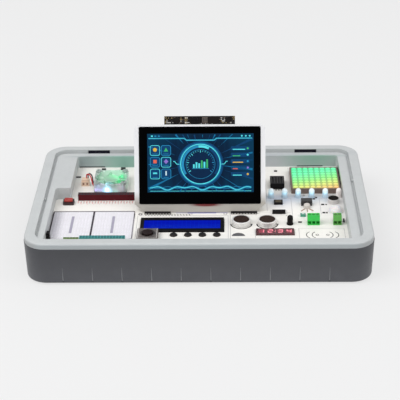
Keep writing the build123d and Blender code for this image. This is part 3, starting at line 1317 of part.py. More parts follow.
PIECES = {
    "lower_tub": lower_tub(),
    "upper_tray": upper_tray(),
    "rubber_feet": rubber_feet(),
    "case_screws": case_screws(),
    "main_board": main_board(),
    "computer_board": computer_board(),
    "usb_ports": usb_ports(),
    "network_jack": network_jack(),
    "power_inlet": power_inlet(),
    "spacers": spacers(),
    "module_board": module_board(),
    "display_bezel": display_bezel(),
    "display_pane": display_pane(),
    "key_bases": key_bases(),
    "sensor_cans": sensor_cans(),
    "can_meshes": can_meshes(),
    "digit_display": digit_display(),
    "reset_base": reset_base(),
    "reset_cap": reset_cap(),
    "stick_case": stick_case(),
    "stick_carriage": stick_carriage(),
    "stick_cap": stick_cap(),
    "fan_frame": fan_frame(),
    "fan_rotor": fan_rotor(),
    "fan_core": fan_core(),
    "fan_screws": fan_screws(),
    "fan_plug": fan_plug(),
    "fan_lead_red": lead(RED_LEAD),
    "fan_lead_black": lead(BLACK_LEAD),
    "socket_red": pin_socket(RED_WAYS, 2, RED_HEIGHT, RED_PLACE),
    "socket_teal": pin_socket(TEAL_WAYS, 2, TALL_HEIGHT, TEAL_PLACE),
    "socket_lime": pin_socket(LIME_WAYS, 1, TALL_HEIGHT, LIME_PLACE),
    "sockets_black": black_sockets(),
    "breadboard_left": breadboard(BREADBOARD_X[0]),
    "breadboard_right": breadboard(BREADBOARD_X[1]),
    "lamps": lamps(),
    "infrared_bullet": lamp(BULLET_X, BULLET_Y),
    "matrix_body": matrix_body(),
    "matrix_plate": matrix_plate(),
    "humidity_sensor": humidity_sensor(),
    "relay": relay(),
    "light_sensor": light_sensor(),
    "terminal_blocks": terminal_blocks(),
    "terminal_screws": terminal_screws(),
    "microphone": microphone(),
    "motion_lens": motion_lens(),
    "board_chips": board_chips(),
    "hinge_brackets": hinge_brackets(),
    "hinge_pins": hinge_pins(),
    "screen_shell": screen_shell(),
    "screen_frame": screen_frame(),
    "screen_glass": screen_glass(),
    "display_panel": display_panel(),
    "driver_board": driver_board(),
    "camera_board": camera_board(),
    "camera_lens": camera_lens(),
}
for number, x in enumerate(KEY_X, start=1):
    PIECES[f"key_cap_{number}"] = key_cap(x)

os.makedirs("parts", exist_ok=True)
for name, solid in PIECES.items():
    export_step(solid, f"parts/{name}.step")
print(len(PIECES), "nodes")
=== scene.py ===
# %% [markdown]
# # Dressing an electronics learning kit
#
# The solids of this case full of circuits come from a CAD program and are already in the right places.
# This lesson gives them their real finishes and adds what is too fine for the solids: the grey print on
# the white board, the lit segments, the woven wire of the sensors, the picture on the screen.
# Each step first says what the thing is on the real kit, how it could be made, and why it is made this way.

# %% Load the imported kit
import math
import random

import bmesh
import bpy
from mathutils import Matrix, Vector


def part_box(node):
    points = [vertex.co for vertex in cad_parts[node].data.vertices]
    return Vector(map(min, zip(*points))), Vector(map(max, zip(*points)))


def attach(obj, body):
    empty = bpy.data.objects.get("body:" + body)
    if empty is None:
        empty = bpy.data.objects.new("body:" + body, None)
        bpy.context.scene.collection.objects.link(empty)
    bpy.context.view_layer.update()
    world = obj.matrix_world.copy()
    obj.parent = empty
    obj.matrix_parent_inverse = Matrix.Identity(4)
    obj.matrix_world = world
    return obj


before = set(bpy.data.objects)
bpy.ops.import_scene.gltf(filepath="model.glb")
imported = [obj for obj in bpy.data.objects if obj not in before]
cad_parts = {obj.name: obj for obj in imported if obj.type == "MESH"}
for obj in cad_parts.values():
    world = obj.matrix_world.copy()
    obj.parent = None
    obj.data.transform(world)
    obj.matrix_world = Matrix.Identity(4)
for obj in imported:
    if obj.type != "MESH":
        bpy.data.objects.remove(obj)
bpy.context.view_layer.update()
MM = 0.001

# %% [markdown]
# ## Camera
#
# A camera could be aimed with a constraint, but three plain angles are easier to read: how far it looks
# down, how far it turns to the side, and how far it leans. The lens is worked out from the picture's
# width of 400 pixels and a sensor 36 mm wide.

# %% Place the camera
PICTURE, SENSOR = 400, 36
FOCAL_PIXELS = 1323.9
LOOK_DOWN, TURN, LEAN = math.radians(27.362), math.radians(1.294), math.radians(-0.838)

camera = bpy.data.objects.new("camera", bpy.data.cameras.new("camera"))
bpy.context.scene.collection.objects.link(camera)
camera.data.sensor_width = SENSOR
camera.data.lens = FOCAL_PIXELS * SENSOR / PICTURE
camera.data.clip_start, camera.data.clip_end = 0.05, 50
camera.location = Vector((23.1, -1033.5, 564.7)) * MM
camera.rotation_mode = "QUATERNION"
aim = Matrix.Rotation(TURN, 3, "Z") @ Matrix.Rotation(math.pi / 2 - LOOK_DOWN, 3, "X")
camera.rotation_quaternion = (aim @ Matrix.Rotation(LEAN, 3, "Z")).to_quaternion()
bpy.context.scene.camera = camera
print("lens in mm:", round(camera.data.lens, 1))

# %% [markdown]
# ## Light and floor
#
# Strong lamps would wash the white board out, so the levels are low enough that a colour comes out about
# as it is written. Every shader node is made, set and linked in the same way, so one function does all
# three.

# %% Set the studio
scene = bpy.context.scene
scene.view_settings.view_transform = "Standard"
PALE = (0.863, 0.863, 0.863, 1)
SURROUND = (0.60, 0.605, 0.615, 1)


def add_node(tree, kind, sockets, **settings):
    """A new node: each of its sockets takes a number, or a link when the value is another socket."""
    made = tree.nodes.new("ShaderNode" + kind)
    for setting, value in settings.items():
        setattr(made, setting, value)
    for socket, value in sockets.items():
        if isinstance(value, bpy.types.NodeSocket):
            tree.links.new(value, made.inputs[socket])
        else:
            made.inputs[socket].default_value = value
    return made


def path_is(tree, *kinds):
    """1 for rays of these kinds, and 0 for the rest."""
    rays = tree.nodes.new("ShaderNodeLightPath")
    total = rays.outputs[kinds[0]]
    for kind in kinds[1:]:
        total = add_node(tree, "Math", {0: total, 1: rays.outputs[kind]}, operation="MAXIMUM").outputs[0]
    return total


world = bpy.data.worlds.new("studio")
scene.world = world
world.use_nodes = True
sky = world.node_tree
around = sky.nodes["Background"]
around.inputs["Color"].default_value = SURROUND
seen = add_node(sky, "Background", {"Color": PALE})
looks = path_is(sky, "Is Camera Ray", "Is Transmission Ray")
choose = add_node(sky, "MixShader", {0: looks, 1: around.outputs[0], 2: seen.outputs[0]})
sky.links.new(choose.outputs[0], sky.nodes["World Output"].inputs[0])


def soft_lamp(name, place, size, power):
    lamp = bpy.data.objects.new(name, bpy.data.lights.new(name, "AREA"))
    scene.collection.objects.link(lamp)
    lamp.data.size, lamp.data.energy = size, power
    lamp.location = place
    lamp.rotation_mode = "QUATERNION"
    lamp.rotation_quaternion = (-Vector(place)).to_track_quat("-Z", "Y")


soft_lamp("lamp_left", (-1.0, -0.5, 1.5), 1.2, 16.5)
soft_lamp("lamp_right", (1.3, -0.3, 1.2), 0.9, 5.5)
soft_lamp("lamp_front", (0.9, -1.7, 1.7), 1.2, 9)

# %% [markdown]
# The floor stands for a sheet of white studio paper. A sheet that only took light would come out grey at
# its far end, so it gives a little light of its own to the camera, and it still darkens under the case.

# %% Lay the floor
FLOOR_REACH = 6
floor_mesh = bmesh.new()
bmesh.ops.create_grid(floor_mesh, x_segments=8, y_segments=8, size=FLOOR_REACH)
floor_data = bpy.data.meshes.new("floor")
floor_mesh.to_mesh(floor_data)
floor = bpy.data.objects.new("floor", floor_data)
scene.collection.objects.link(floor)

paper = bpy.data.materials.new("floor_paper")
paper.use_nodes = True
sheet = paper.node_tree
looks = path_is(sheet, "Is Camera Ray", "Is Glossy Ray", "Is Transmission Ray")
matt = add_node(sheet, "BsdfDiffuse", {"Color": (0.20, 0.20, 0.20, 1)})
shine = add_node(sheet, "Emission", {"Color": (0.655, 0.655, 0.655, 1), "Strength": looks})
both = add_node(sheet, "AddShader", {0: matt.outputs[0], 1: shine.outputs[0]})
sheet.links.new(both.outputs[0], sheet.nodes["Material Output"].inputs[0])
floor_data.materials.append(paper)
print("floor reaches", round(floor.dimensions.x, 1), "m")

# %% [markdown]
# ## One recipe for moulded plastic
#
# Most parts here are moulded: slightly uneven in colour, slightly uneven in gloss, with a grain too fine
# to see as bumps. An image could carry that, but a few noise nodes do it without a picture and at any scale.
# The recipe takes the grain's size in millimetres, because each part's place is measured in real units.

# %% Write the plastic recipe
def pale(colour, share):
    """The colour made lighter or darker by a share."""
    return tuple(min(1.0, c * (1 + share)) for c in colour)


def bare_finish(name, colour, roughness, **numbers):
    """A material whose plain numbers sit on the shader itself. Gives its tree and its shader too."""
    finish = bpy.data.materials.new(name)
    finish.use_nodes = True
    tree = finish.node_tree
    shader = tree.nodes["Principled BSDF"]
    shader.inputs["Base Color"].default_value = (*colour, 1)
    shader.inputs["Roughness"].default_value = roughness
    for socket, number in numbers.items():
        shader.inputs[socket.replace("_", " ")].default_value = number
    return finish, tree, shader


def here(tree):
    return tree.nodes.new("ShaderNodeTexCoord").outputs["Object"]


def noise(tree, grain, detail=2.0):
    """A noise pattern with spots of about grain millimetres."""
    sockets = {"Vector": here(tree), "Scale": 1000 / grain, "Detail": detail}
    return add_node(tree, "TexNoise", sockets).outputs["Fac"]


def ramp(tree, factor, stops):
    """A colour for each share of factor: stops are (share, colour)."""
    scale = add_node(tree, "ValToRGB", {0: factor})
    elements = scale.color_ramp.elements
    while len(elements) < len(stops):
        elements.new(0.5)
    for element, (share, colour) in zip(elements, stops):
        element.position = share
        element.color = (*colour, 1)
    return scale.outputs[0]


def spread(tree, factor, low, high):
    """Stretches a pattern to run from low to high."""
    sockets = {"Value": factor, "From Min": 0.3, "From Max": 0.7, "To Min": low, "To Max": high}
    return add_node(tree, "MapRange", sockets).outputs[0]


def dent(tree, shader, pattern, depth):
    """Lets a pattern stand proud by depth millimetres."""
    bump = add_node(tree, "Bump", {"Distance": depth * MM, "Height": pattern})
    tree.links.new(bump.outputs[0], shader.inputs["Normal"])


def cloudy(tree, shader, grain, dark, light, socket="Base Color"):
    """Clouds of two colours on a socket, about grain millimetres large."""
    clouds = ramp(tree, noise(tree, grain), [(0.3, dark), (0.7, light)])
    tree.links.new(clouds, shader.inputs[socket])


def uneven_gloss(tree, shader, grain, low, high):
    """A roughness that wanders between low and high."""
    tree.links.new(spread(tree, noise(tree, grain), low, high), shader.inputs["Roughness"])


def moulded(name, colour, roughness=0.45, grain=0.5, depth=0.02, uneven=0.05, **numbers):
    """Moulded plastic or another even stuff: cloudy colour, cloudy gloss and a fine grain."""
    finish, tree, shader = bare_finish(name, colour, roughness, **numbers)
    cloudy(tree, shader, grain * 14, pale(colour, -uneven), pale(colour, uneven))
    uneven_gloss(tree, shader, grain * 5, roughness - 0.05, min(1.0, roughness + 0.07))
    dent(tree, shader, noise(tree, grain, 3.0), depth)
    return finish


def moulded_all(rows, **shared):
    """One moulded finish for each (name, colour, roughness), with shared numbers for the rest."""
    return [moulded(*row, **shared) for row in rows]


def near(tree, place, reach, strength, squash=(1, 1, 1)):
    """A soft spot round a place in millimetres: strength in its middle and 0 at reach.

    Along an axis with a large squash the spot is thin.
    """
    pressed = add_node(tree, "VectorMath", {0: here(tree), 1: squash}, operation="MULTIPLY").outputs[0]
    middle = Vector(place) * Vector(squash) * MM
    away = add_node(tree, "VectorMath", {0: pressed, 1: middle}, operation="DISTANCE").outputs["Value"]
    sockets = {"Value": away, "From Max": reach * MM, "To Min": strength, "To Max": 0.0}
    return add_node(tree, "MapRange", sockets, interpolation_type="SMOOTHSTEP").outputs[0]


def rising(tree, low, high):
    """0 below the height low and 1 above the height high, in millimetres."""
    height = add_node(tree, "SeparateXYZ", {0: here(tree)}).outputs["Z"]
    sockets = {"Value": height, "From Min": low * MM, "From Max": high * MM}
    return add_node(tree, "MapRange", sockets).outputs[0]


def tinted(finish, share, colour):
    """Mixes another colour into a finish where share is more than 0."""
    tree = finish.node_tree
    base = tree.nodes["Principled BSDF"].inputs["Base Color"]
    sockets = {0: share, 6: base.links[0].from_socket, 7: (*colour, 1)}
    tree.links.new(add_node(tree, "Mix", sockets, data_type="RGBA").outputs[2], base)


def tint_and_light_spot(finish, place, reach, share, colour, squash=(1, 1, 1)):
    """Mixes another colour into a finish in a soft spot round a place; most calls paint light or shade, a few
    a tint of the thing's own.
    """
    tinted(finish, near(finish.node_tree, place, reach, share, squash), colour)


FAN = Vector((-81.3, 39.6, 29.0))
MATRIX = Vector((103.1, 43.4, 29.6))
LAMPS = [(62.7 + 12.0 * k, 15.0) for k in range(6)]
CANS, CAN_Y = (35.7, 57.9), -34.4
dressed = set()


def dress(finish, *nodes):
    """Gives CAD nodes a finish in place of their plain one."""
    for node in nodes:
        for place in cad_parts[node].material_slots:
            place.material = finish
        dressed.add(node)
    print(finish.name, "on", ", ".join(nodes))


# %% [markdown]
# ## The case
#
# The lower tub is dark grey, the tray is light grey, both of a tough plastic with a fine leathery spark
# texture, which the mould was eroded with. A sharper texture would glitter, so the grain is 0.6 mm and
# very shallow. The feet are rubber, and the screws under the case are bright steel turned on a lathe,
# which leaves fine rings: a ring pattern would need each screw's centre, so stretched noise stands in.

# %% Finish the case
TUB = (0.079, 0.081, 0.090)
TRAY = (0.524, 0.542, 0.542)
tub_grey = moulded("tub_grey", pale(TUB, 0.50), 0.42, grain=0.6, depth=0.03, uneven=0.06)
# Painted light and shade: the tub is lighter towards the floor, where light bounces up, and darker up under
# the tray.
tinted(tub_grey, rising(tub_grey.node_tree, 0, 30), pale(TUB, -0.06))
dress(tub_grey, "lower_tub")
tray_grey = moulded("tray_grey", TRAY, 0.40, grain=0.6, depth=0.02, uneven=0.025)
# Painted light and shade on the tray's back wall: a darker blue-grey shade along it, the green glow of the
# fan and of the matrix behind each, and a dark teal shade in the back left corner.
for place, reach, share, colour in (
    ((20, 76.8, 29), 170, 0.55, (0.33, 0.37, 0.41)),
    ((-72, 76.8, 31), 42, 0.85, (0.22, 0.44, 0.36)),
    ((104, 76.8, 31), 40, 0.80, (0.25, 0.42, 0.35)),
    ((-108, 76.8, 30), 26, 0.80, (0.24, 0.31, 0.31)),
):
    tint_and_light_spot(tray_grey, place, reach, share, colour, (1, 14, 1))
# A lighter, bluer band along the front lip.
tint_and_light_spot(tray_grey, (0, -95, 35.6), 4.2, 1.0, (0.576, 0.629, 0.645), (0.01, 1, 1))
dress(tray_grey, "upper_tray")
dress(moulded("foot_rubber", (0.02, 0.02, 0.021), 0.85, grain=0.3, depth=0.03), "rubber_feet")


def metal(name, colour, roughness):
    """Metal with fine tool marks, drawn out along one direction."""
    finish, tree, shader = bare_finish(name, colour, roughness, Metallic=1.0)
    stretch = add_node(tree, "Mapping", {"Vector": here(tree), "Scale": (1, 1, 8)}).outputs[0]
    marks = add_node(tree, "TexNoise", {"Vector": stretch, "Scale": 1800}).outputs["Fac"]
    gloss = spread(tree, marks, roughness - 0.08, roughness + 0.12)
    tree.links.new(gloss, shader.inputs["Roughness"])
    shades = ramp(tree, marks, [(0.3, pale(colour, -0.15)), (0.7, colour)])
    tree.links.new(shades, shader.inputs["Base Color"])
    dent(tree, shader, marks, 0.006)
    return finish


TINNED = metal("tinned_pins", (0.72, 0.71, 0.68), 0.30)
steel = metal("screw_steel", (0.56, 0.55, 0.53), 0.32)
dress(steel, "case_screws", "terminal_screws", "hinge_pins", "spacers")
dress(metal("port_shells", (0.62, 0.62, 0.61), 0.28), "usb_ports", "network_jack")

# %% [markdown]
# ## Tools for small pieces
#
# The fine parts are flat strokes, little blocks and round wires; some strokes are ink, others painted light
# or shade. Each could be a scene object of its own, but hundreds of objects are slow, so the strokes of one
# sort are collected in one mesh. The screen stands at an angle, so its pieces are made lying flat and turned
# up about the hinge line.

# %% Write the small tools
BOARD = 24.6
PIN_PITCH = 2.54
HINGE = Matrix.Translation(Vector((0, -8.0, 29.2)) * MM) @ Matrix.Rotation(math.radians(67.3), 4, "X")


class Work:
    """Small shapes in one mesh, in millimetres."""

    def __init__(self):
        self.mesh = bmesh.new()

    def face(self, points, finish=0):
        """One flat face through (x, y, z) points."""
        made = self.mesh.faces.new([self.mesh.verts.new(Vector(p) * MM) for p in points])
        made.material_index = finish

    def plate(self, outline, low, high, finish=0, round_by=0.0):
        """A plate with this outline, from low to high, its edges softened by round_by."""
        foot = [self.mesh.verts.new(Vector((x, y, low)) * MM) for x, y in outline]
        head = [self.mesh.verts.new(Vector((x, y, high)) * MM) for x, y in outline]
        made = [self.mesh.faces.new(foot[::-1]), self.mesh.faces.new(head)]
        for i in range(len(foot)):
            j = (i + 1) % len(foot)
            made.append(self.mesh.faces.new([foot[i], foot[j], head[j], head[i]]))
        for side in made:
            side.material_index = finish
        if round_by:
            bmesh.ops.bevel(
                self.mesh, geom=list(made[1].edges), offset=round_by * MM,
                segments=2, affect="EDGES", material=-1,
            )

    def block(self, x, y, low, size, finish=0, round_by=0.0):
        """A block of size (length, depth, height) centred on x, y."""
        a, b, c = size
        self.plate(rectangle(x, y, a, b), low, low + c, finish, round_by)

    def wire(self, points, radius, finish=0, sides=8):
        """A round wire through points."""
        rings = []
        spots = [Vector(p) for p in points]
        for i, spot in enumerate(spots):
            ahead = (spots[min(i + 1, len(spots) - 1)] - spots[max(i - 1, 0)]).normalized()
            across = ahead.orthogonal() if i == 0 else across - ahead * across.dot(ahead)
            across.normalize()
            up = ahead.cross(across)
            turns = [k * math.tau / sides for k in range(sides)]
            round_it = [spot + radius * (math.cos(t) * across + math.sin(t) * up) for t in turns]
            rings.append([self.mesh.verts.new(point * MM) for point in round_it])
        for first, second in zip(rings, rings[1:]):
            for k in range(sides):
                j = (k + 1) % sides
                self.mesh.faces.new([first[k], first[j], second[j], second[k]]).material_index = finish
        self.mesh.faces.new(rings[0][::-1]).material_index = finish
        self.mesh.faces.new(rings[-1]).material_index = finish

    def stroke(self, points, width, height, finish=0, closed=False):
        """A flat line through (x, y) points at one height, for ink and for strips of painted light and shade.
        """
        spots = [Vector(p) for p in points]
        count = len(spots)
        sides = []
        for i, spot in enumerate(spots):
            before = spots[i - 1] if closed or i else spot
            after = spots[(i + 1) % count] if closed or i < count - 1 else spot
            a, b = (spot - before), (after - spot)
            a = a.normalized() if a.length else b.normalized()
            b = b.normalized() if b.length else a
            middle = (a + b).normalized()
            normal = Vector((-middle.y, middle.x))
            reach = width / 2 / max(0.5, normal.dot(Vector((-a.y, a.x))))
            sides.append((spot + normal * reach, spot - normal * reach))
        for i in range(count if closed else count - 1):
            (p, q), (r, s) = sides[i], sides[(i + 1) % count]
            self.face([(*q, height), (*s, height), (*r, height), (*p, height)], finish)

    def circle(self, x, y, radius, width, height, finish=0, steps=8):
        """A flat round line of ink."""
        self.stroke(ring(x, y, radius, steps), width, height, finish, closed=True)

    def piece(self, name, finishes, body, place=None):
        data = bpy.data.meshes.new(name)
        if place is not None:
            self.mesh.transform(place)
        self.mesh.to_mesh(data)
        self.mesh.free()
        for finish in finishes:
            data.materials.append(finish)
        made = bpy.data.objects.new(name, data)
        scene.collection.objects.link(made)
        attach(made, body)
        print(name, "faces:", len(data.polygons))


def between(left, front, right, back):
    """Four corners from two opposite ones."""
    return [(left, front), (right, front), (right, back), (left, back)]


def rectangle(x, y, length, depth):
    """Four corners round x, y."""
    return between(x - length / 2, y - depth / 2, x + length / 2, y + depth / 2)


def arc(x, y, radius, start, end, steps=24):
    """Points of an arc, its angles in degrees."""
    turns = [math.radians(start + (end - start) * k / steps) for k in range(steps + 1)]
    return [(x + radius * math.cos(t), y + radius * math.sin(t)) for t in turns]


def ring(x, y, radius, steps=32):
    """Points all round a circle, the last one left out."""
    return arc(x, y, radius, 0, 360, steps)[:-1]


def rounded(x, y, length, depth, radius, steps=5):
    """A rectangle with round corners."""
    a, b = length / 2 - radius, depth / 2 - radius
    corners = [(x + a, y + b, 0), (x - a, y + b, 90), (x - a, y - b, 180), (x + a, y - b, 270)]
    return [point for cx, cy, turn in corners for point in arc(cx, cy, radius, turn, turn + 90, steps)]


# %% [markdown]
# ## Edges and shades of the case
#
# Down the sides of the tub run shallow creases. Their edges catch the light as thin pale lines that fade
# upwards, and these are painted highlights. A highlight like this could be painted by the slope of the
# surface, but thin slips that lie in the creases are simpler to place. The slots for the lid's latches and
# for the cables open into the dark inside of the tub, so a nearly black sheet behind each paints their shade.

# %% Line the creases and the slots
CREASE_PITCH, CREASE_SHIFT, CREASE_DEEP, CREASE_TALL = 24.45, -2.3, 0.9, 17
TUB_CORNER, TUB_FOOT, TUB_TOP, TUB_DRAW_IN = 19, 0.8, 33.6, 1.0
edges = Work()
for side in range(4):
    reach, along = ((95, 145), (145, 95))[side % 2]
    count = int(2 * (along - TUB_CORNER) / CREASE_PITCH)
    turn = Matrix.Rotation(side * math.pi / 2, 3, "Z")
    for k in range(count):
        middle = CREASE_SHIFT + (k - (count - 1) / 2) * CREASE_PITCH
        spots = []
        for z, way in ((3.4, -1), (3.4, 1), (16.0, 1), (16.0, -1)):
            deep = CREASE_DEEP * (1 - (z - TUB_FOOT) / CREASE_TALL)
            out = reach - TUB_DRAW_IN * (TUB_TOP - z) / (TUB_TOP - TUB_FOOT) - 0.4 * deep
            spots.append(turn @ Vector((middle + way * 0.62 * deep, -out, z)))
        edges.face(spots)
# Painted highlights: pale slips in the tub's creases.
crease_highlight = moulded("crease_highlight_grey", (0.30, 0.305, 0.32), 0.5, grain=0.3, depth=0.01)
edges.piece("crease_highlights", [crease_highlight], "kit")

shades = Work()
LATCH, CABLE = range(2)
for x in (-96.0, 96.8):
    shades.block(x, 85.9, 33.7, (20.2, 2.0, 0.9), LATCH)
    shades.block(x, 86.93, 33.8, (20.2, 0.12, 4.0), LATCH)
for x in (-102.0, 100.6):
    shades.block(x, 77.05, 24.62, (23.9, 0.4, 1.05), CABLE)
# A thin near-black strip at the foot of the right wall, beside the matrix, is painted shade in the seam
# there.
shades.block(125.62, 47.0, 26.0, (0.3, 38.0, 5.0), CABLE)
shade_finishes = moulded_all([
    ("shade_violet", (0.024, 0.023, 0.036), 0.9),
    ("shade_black", (0.010, 0.010, 0.014), 0.9),
], Specular_IOR_Level=0.1)
shades.piece("slot_shades", shade_finishes, "kit")

# %% [markdown]
# ## The circuit boards
#
# The floor of the well is one large board under white lacquer. Under such lacquer the copper tracks show
# as faint raised lines. Drawing each track as geometry would take days; a brick pattern with long narrow
# bricks gives the same straight, stepped lines in one node. The inner boards are green, with the same lines.

# %% Finish the boards
def bricks(tree, place, colours, length, row, joint, **settings):
    """Bricks in two colours with joints in a third, their sizes in millimetres."""
    sockets = {"Vector": place, "Scale": 1000, "Brick Width": length, "Row Height": row, "Mortar Size": joint}
    for socket, colour in zip(("Color1", "Color2", "Mortar"), colours):
        sockets[socket] = (*colour, 1)
    return add_node(tree, "TexBrick", sockets, **settings).outputs


def board_finish(name, lacquer, roughness, tracks=0.06, **numbers):
    """Lacquer over copper tracks: faint stepped lines, a little raised."""
    finish, tree, shader = bare_finish(name, lacquer, roughness, **numbers)
    shades = lacquer, pale(lacquer, -tracks * 0.3), pale(lacquer, -tracks)
    lines = bricks(tree, here(tree), shades, 13, PIN_PITCH, 0.14)
    tree.links.new(lines["Color"], shader.inputs["Base Color"])
    uneven_gloss(tree, shader, 4, roughness - 0.04, roughness + 0.06)
    dent(tree, shader, lines["Fac"], 0.03)
    return finish


white_board = board_finish("white_board", (0.93, 0.905, 0.855), 0.35)
# Painted light and shade on the white board: a blue-tinted shadow in front of each lit lamp, a wider bluish
# cast round the lamps and a blue cast in front of the fan from their light, a grey shade over the right end,
# and the shadow of the tray's left wall.
HALO = (0.36, 0.45, 0.56)
painted_shade_and_light = [((x, y - 2.5, BOARD), 12.0, 0.75, HALO, (1.0, 0.9, 1)) for x, y in LAMPS[:5]] + [
    ((72, 7, BOARD), 24, 0.5, (0.60, 0.62, 0.73)),
    ((FAN.x - 1, FAN.y - 17, BOARD), 9, 0.5, (0.55, 0.66, 0.86)),
    ((130, 5, BOARD), 60, 0.55, (0.66, 0.66, 0.67)),
    ((-118, 50, BOARD), 16, 0.6, (0.58, 0.58, 0.56), (1, 0.3, 1)),
]
for painted_spot in painted_shade_and_light:
    tint_and_light_spot(white_board, *painted_spot)
dress(white_board, "main_board")
green_board = board_finish("green_board", (0.015, 0.12, 0.05), 0.35, 0.3)
dress(green_board, "computer_board", "module_board", "driver_board")
camera_brown = board_finish("camera_brown", (0.012, 0.009, 0.008), 0.40, 0.4, Specular_IOR_Level=0.12)
dress(camera_brown, "camera_board")

# %% [markdown]
# ## Ink on the board
#
# Thin grey frames divide the board into blocks, arcs mark the round sensors, and two pairs of arcs mark
# where a tag is read. It is screen-printed ink a few hundredths of a millimetre thick. A texture would
# blur at this size, so the strokes are flat strips of mesh lying just above the lacquer.

# %% Print the grey lines
INK = BOARD + 0.05
GREY, RED, BLACK, SOFT, VIOLET, LILAC = range(6)
inks_and_glints = moulded_all([
    ("ink_grey", (0.10, 0.10, 0.105), 0.6),
    ("ink_red", (0.75, 0.16, 0.17), 0.6),
    ("ink_black", (0.02, 0.018, 0.018), 0.5),
    ("ink_soft", (0.46, 0.45, 0.45), 0.6),
    ("glint_violet", (0.34, 0.33, 0.60), 0.5),
    ("glint_lilac", (0.58, 0.57, 0.74), 0.5),
], grain=0.2, depth=0.004)

lines = Work()
frames = [
    [(58.6, -12), (58.6, 74)],
    [(80.2, 26), (80.2, 74)],
    [(80.2, -27), (80.2, 12)],
    [(58.6, 12), (80.2, 12)],
    [(105.2, -18), (105.2, 12), (124, 12)],
    [(26.2, -78), (26.2, -15.0), (79, -15.0)],
    [(47.2, -62), (47.2, -44.2)],
    [(84.4, -84), (84.4, -43.4), (122.8, -43.4), (122.8, -84)],
    [(-54.0, -66), (-54.0, -19.6), (24.4, -19.6), (24.4, -66)],
    [(-58.2, 74), (-58.2, 20)],
]
for route in frames:
    lines.stroke(route, 0.35, INK, SOFT)
for can in CANS:
    lines.stroke(arc(can, CAN_Y - 0.5, 9.0, 182, 358), 1.1, INK, BLACK)
    lines.stroke(arc(can, CAN_Y, 9.4, 60, 120), 0.3, INK, GREY)
TAG, COMBS = (103.9, -55.0), (-47.1, 28.0)
for side, middle in ((-1, 180), (1, 0)):
    for reach, radius in ((13.6, 6.4), (8.8, 6.0)):
        hollow = TAG[0] + side * (reach - radius)
        lines.stroke(arc(hollow, TAG[1], radius, middle - 56, middle + 56, 12), 0.65, INK, BLACK)
    lines.circle(TAG[0] + side * 4.4, TAG[1], 1.2, 0.5, INK, BLACK, 14)
lines.face([(x, y, INK) for x, y in arc(33.0, -56.5, 5.6, 0, 180, 16)], GREY)
# Painted reflection: a violet strip with paler lilac ends, blue light reflected on the board under the
# screen's chin.
GLINT_Y = -14.7
lines.stroke([(-11, GLINT_Y), (14, GLINT_Y)], 1.9, INK, VIOLET)
for start, end in ((-21, -11.1), (14.1, 24)):
    lines.stroke([(start, GLINT_Y), (end, GLINT_Y)], 1.1, INK, LILAC)
for k in range(16):
    lines.circle(COMBS[0] + PIN_PITCH * k, -18.4, 0.5, 0.45, INK, GREY)
for x, width in ((-51.9, 1.1), (22.0, 0.4)):
    lines.circle(x, -16.6, 1.4, width, INK, GREY, 16)
lines.piece("board_print_and_glint", inks_and_glints, "kit")

# %% [markdown]
# ## Pads, ticks and small black parts
#
# Beside the big parts a board carries rows of tinned pads, red tick marks that count the pins of the red
# socket, and chips no larger than a grain of rice. They are repeated shapes, so loops set them down.

# %% Set the pads and the small parts
pads = Work()
for k in range(8):
    pads.circle(-24.8 + PIN_PITCH * k, -16.7, 0.55, 0.5, INK, steps=10)
for k in range(9):
    for start in COMBS:
        pads.block(start + PIN_PITCH * k, -17.9, BOARD, (0.64, 1.0, 0.5), round_by=0.1)
for x, y in ((62.0, -20.3), (62.0, -11.7), (75.0, -20.3), (75.0, -11.7), (89.0, 17.5), (92.0, 17.5)):
    pads.circle(x, y, 0.6, 0.5, INK, steps=10)
pads.piece("tinned_pads", [TINNED], "kit")

ticks = Work()
for k in range(21):
    x = -108.4 + PIN_PITCH * k
    for y in (7.9, 6.3, 4.7):
        ticks.stroke([(x, y - 0.5), (x, y + 0.5)], 0.9, INK, 0 if (k + int(y)) % 4 else 1)
for k in range(9):
    ticks.stroke([(-106 + 5.5 * k, 2.9), (-105.2 + 5.5 * k, 2.9)], 0.5, INK, 0)
ticks.piece("pin_ticks", [inks_and_glints[RED], inks_and_glints[SOFT]], "kit")

chips = Work()
for x, y, length, depth, height in (
    (-112.8, 56.0, 4.3, 1.5, 0.9),
    (-90.8, 72.0, 3.8, 1.6, 1.2),
    (-72.8, 71.6, 4.4, 2.2, 2.2),
    (-94.3, 24.0, 3.8, 1.2, 0.8),
    (-68.5, 24.0, 3.8, 1.2, 0.8),
    (68.5, 66.6, 2.8, 1.6, 1.0),
    (123.6, -30.6, 1.4, 4.4, 1.6),
    (107.6, -0.2, 2.6, 1.3, 0.8),
    (110.6, -0.2, 1.3, 0.8, 0.6),
    (107.6, -15.6, 2.2, 1.3, 0.8),
    (110.2, -15.6, 1.3, 1.3, 0.8),
    (100.4, 10.5, 2.2, 1.3, 0.8),
    (102.6, 13.0, 1.6, 0.9, 0.8),
    (86.0, -32.6, 3.2, 1.3, 0.8),
    (121.4, -5.0, 1.6, 0.9, 0.8),
    (121.4, -22.0, 1.6, 0.9, 0.8),
):
    chips.block(x, y, BOARD, (length, depth, height), 0, 0.12)
for end in (-1, 1):
    for x, y in ((107.6, -0.2), (107.6, -15.6), (100.4, 10.5), (86.0, -32.6)):
        chips.block(x + end * 1.25, y, BOARD, (0.5, 1.2, 0.7), 1, 0.1)
chip_black = moulded("chip_black", (0.018, 0.017, 0.018), 0.38, grain=0.15, depth=0.01)
chips.piece("small_chips", [chip_black, TINNED], "kit")

# %% [markdown]
# ## Sockets, keys and other black parts
#
# Pin sockets, the relay, the button bases and the display's frame are glass-filled nylon: dense black or
# strong colour, with a dry gloss that shows the fibres as tiny streaks. The same recipe as the case does
# it with a finer grain. The dull red of the long socket is much darker than the red of the button.

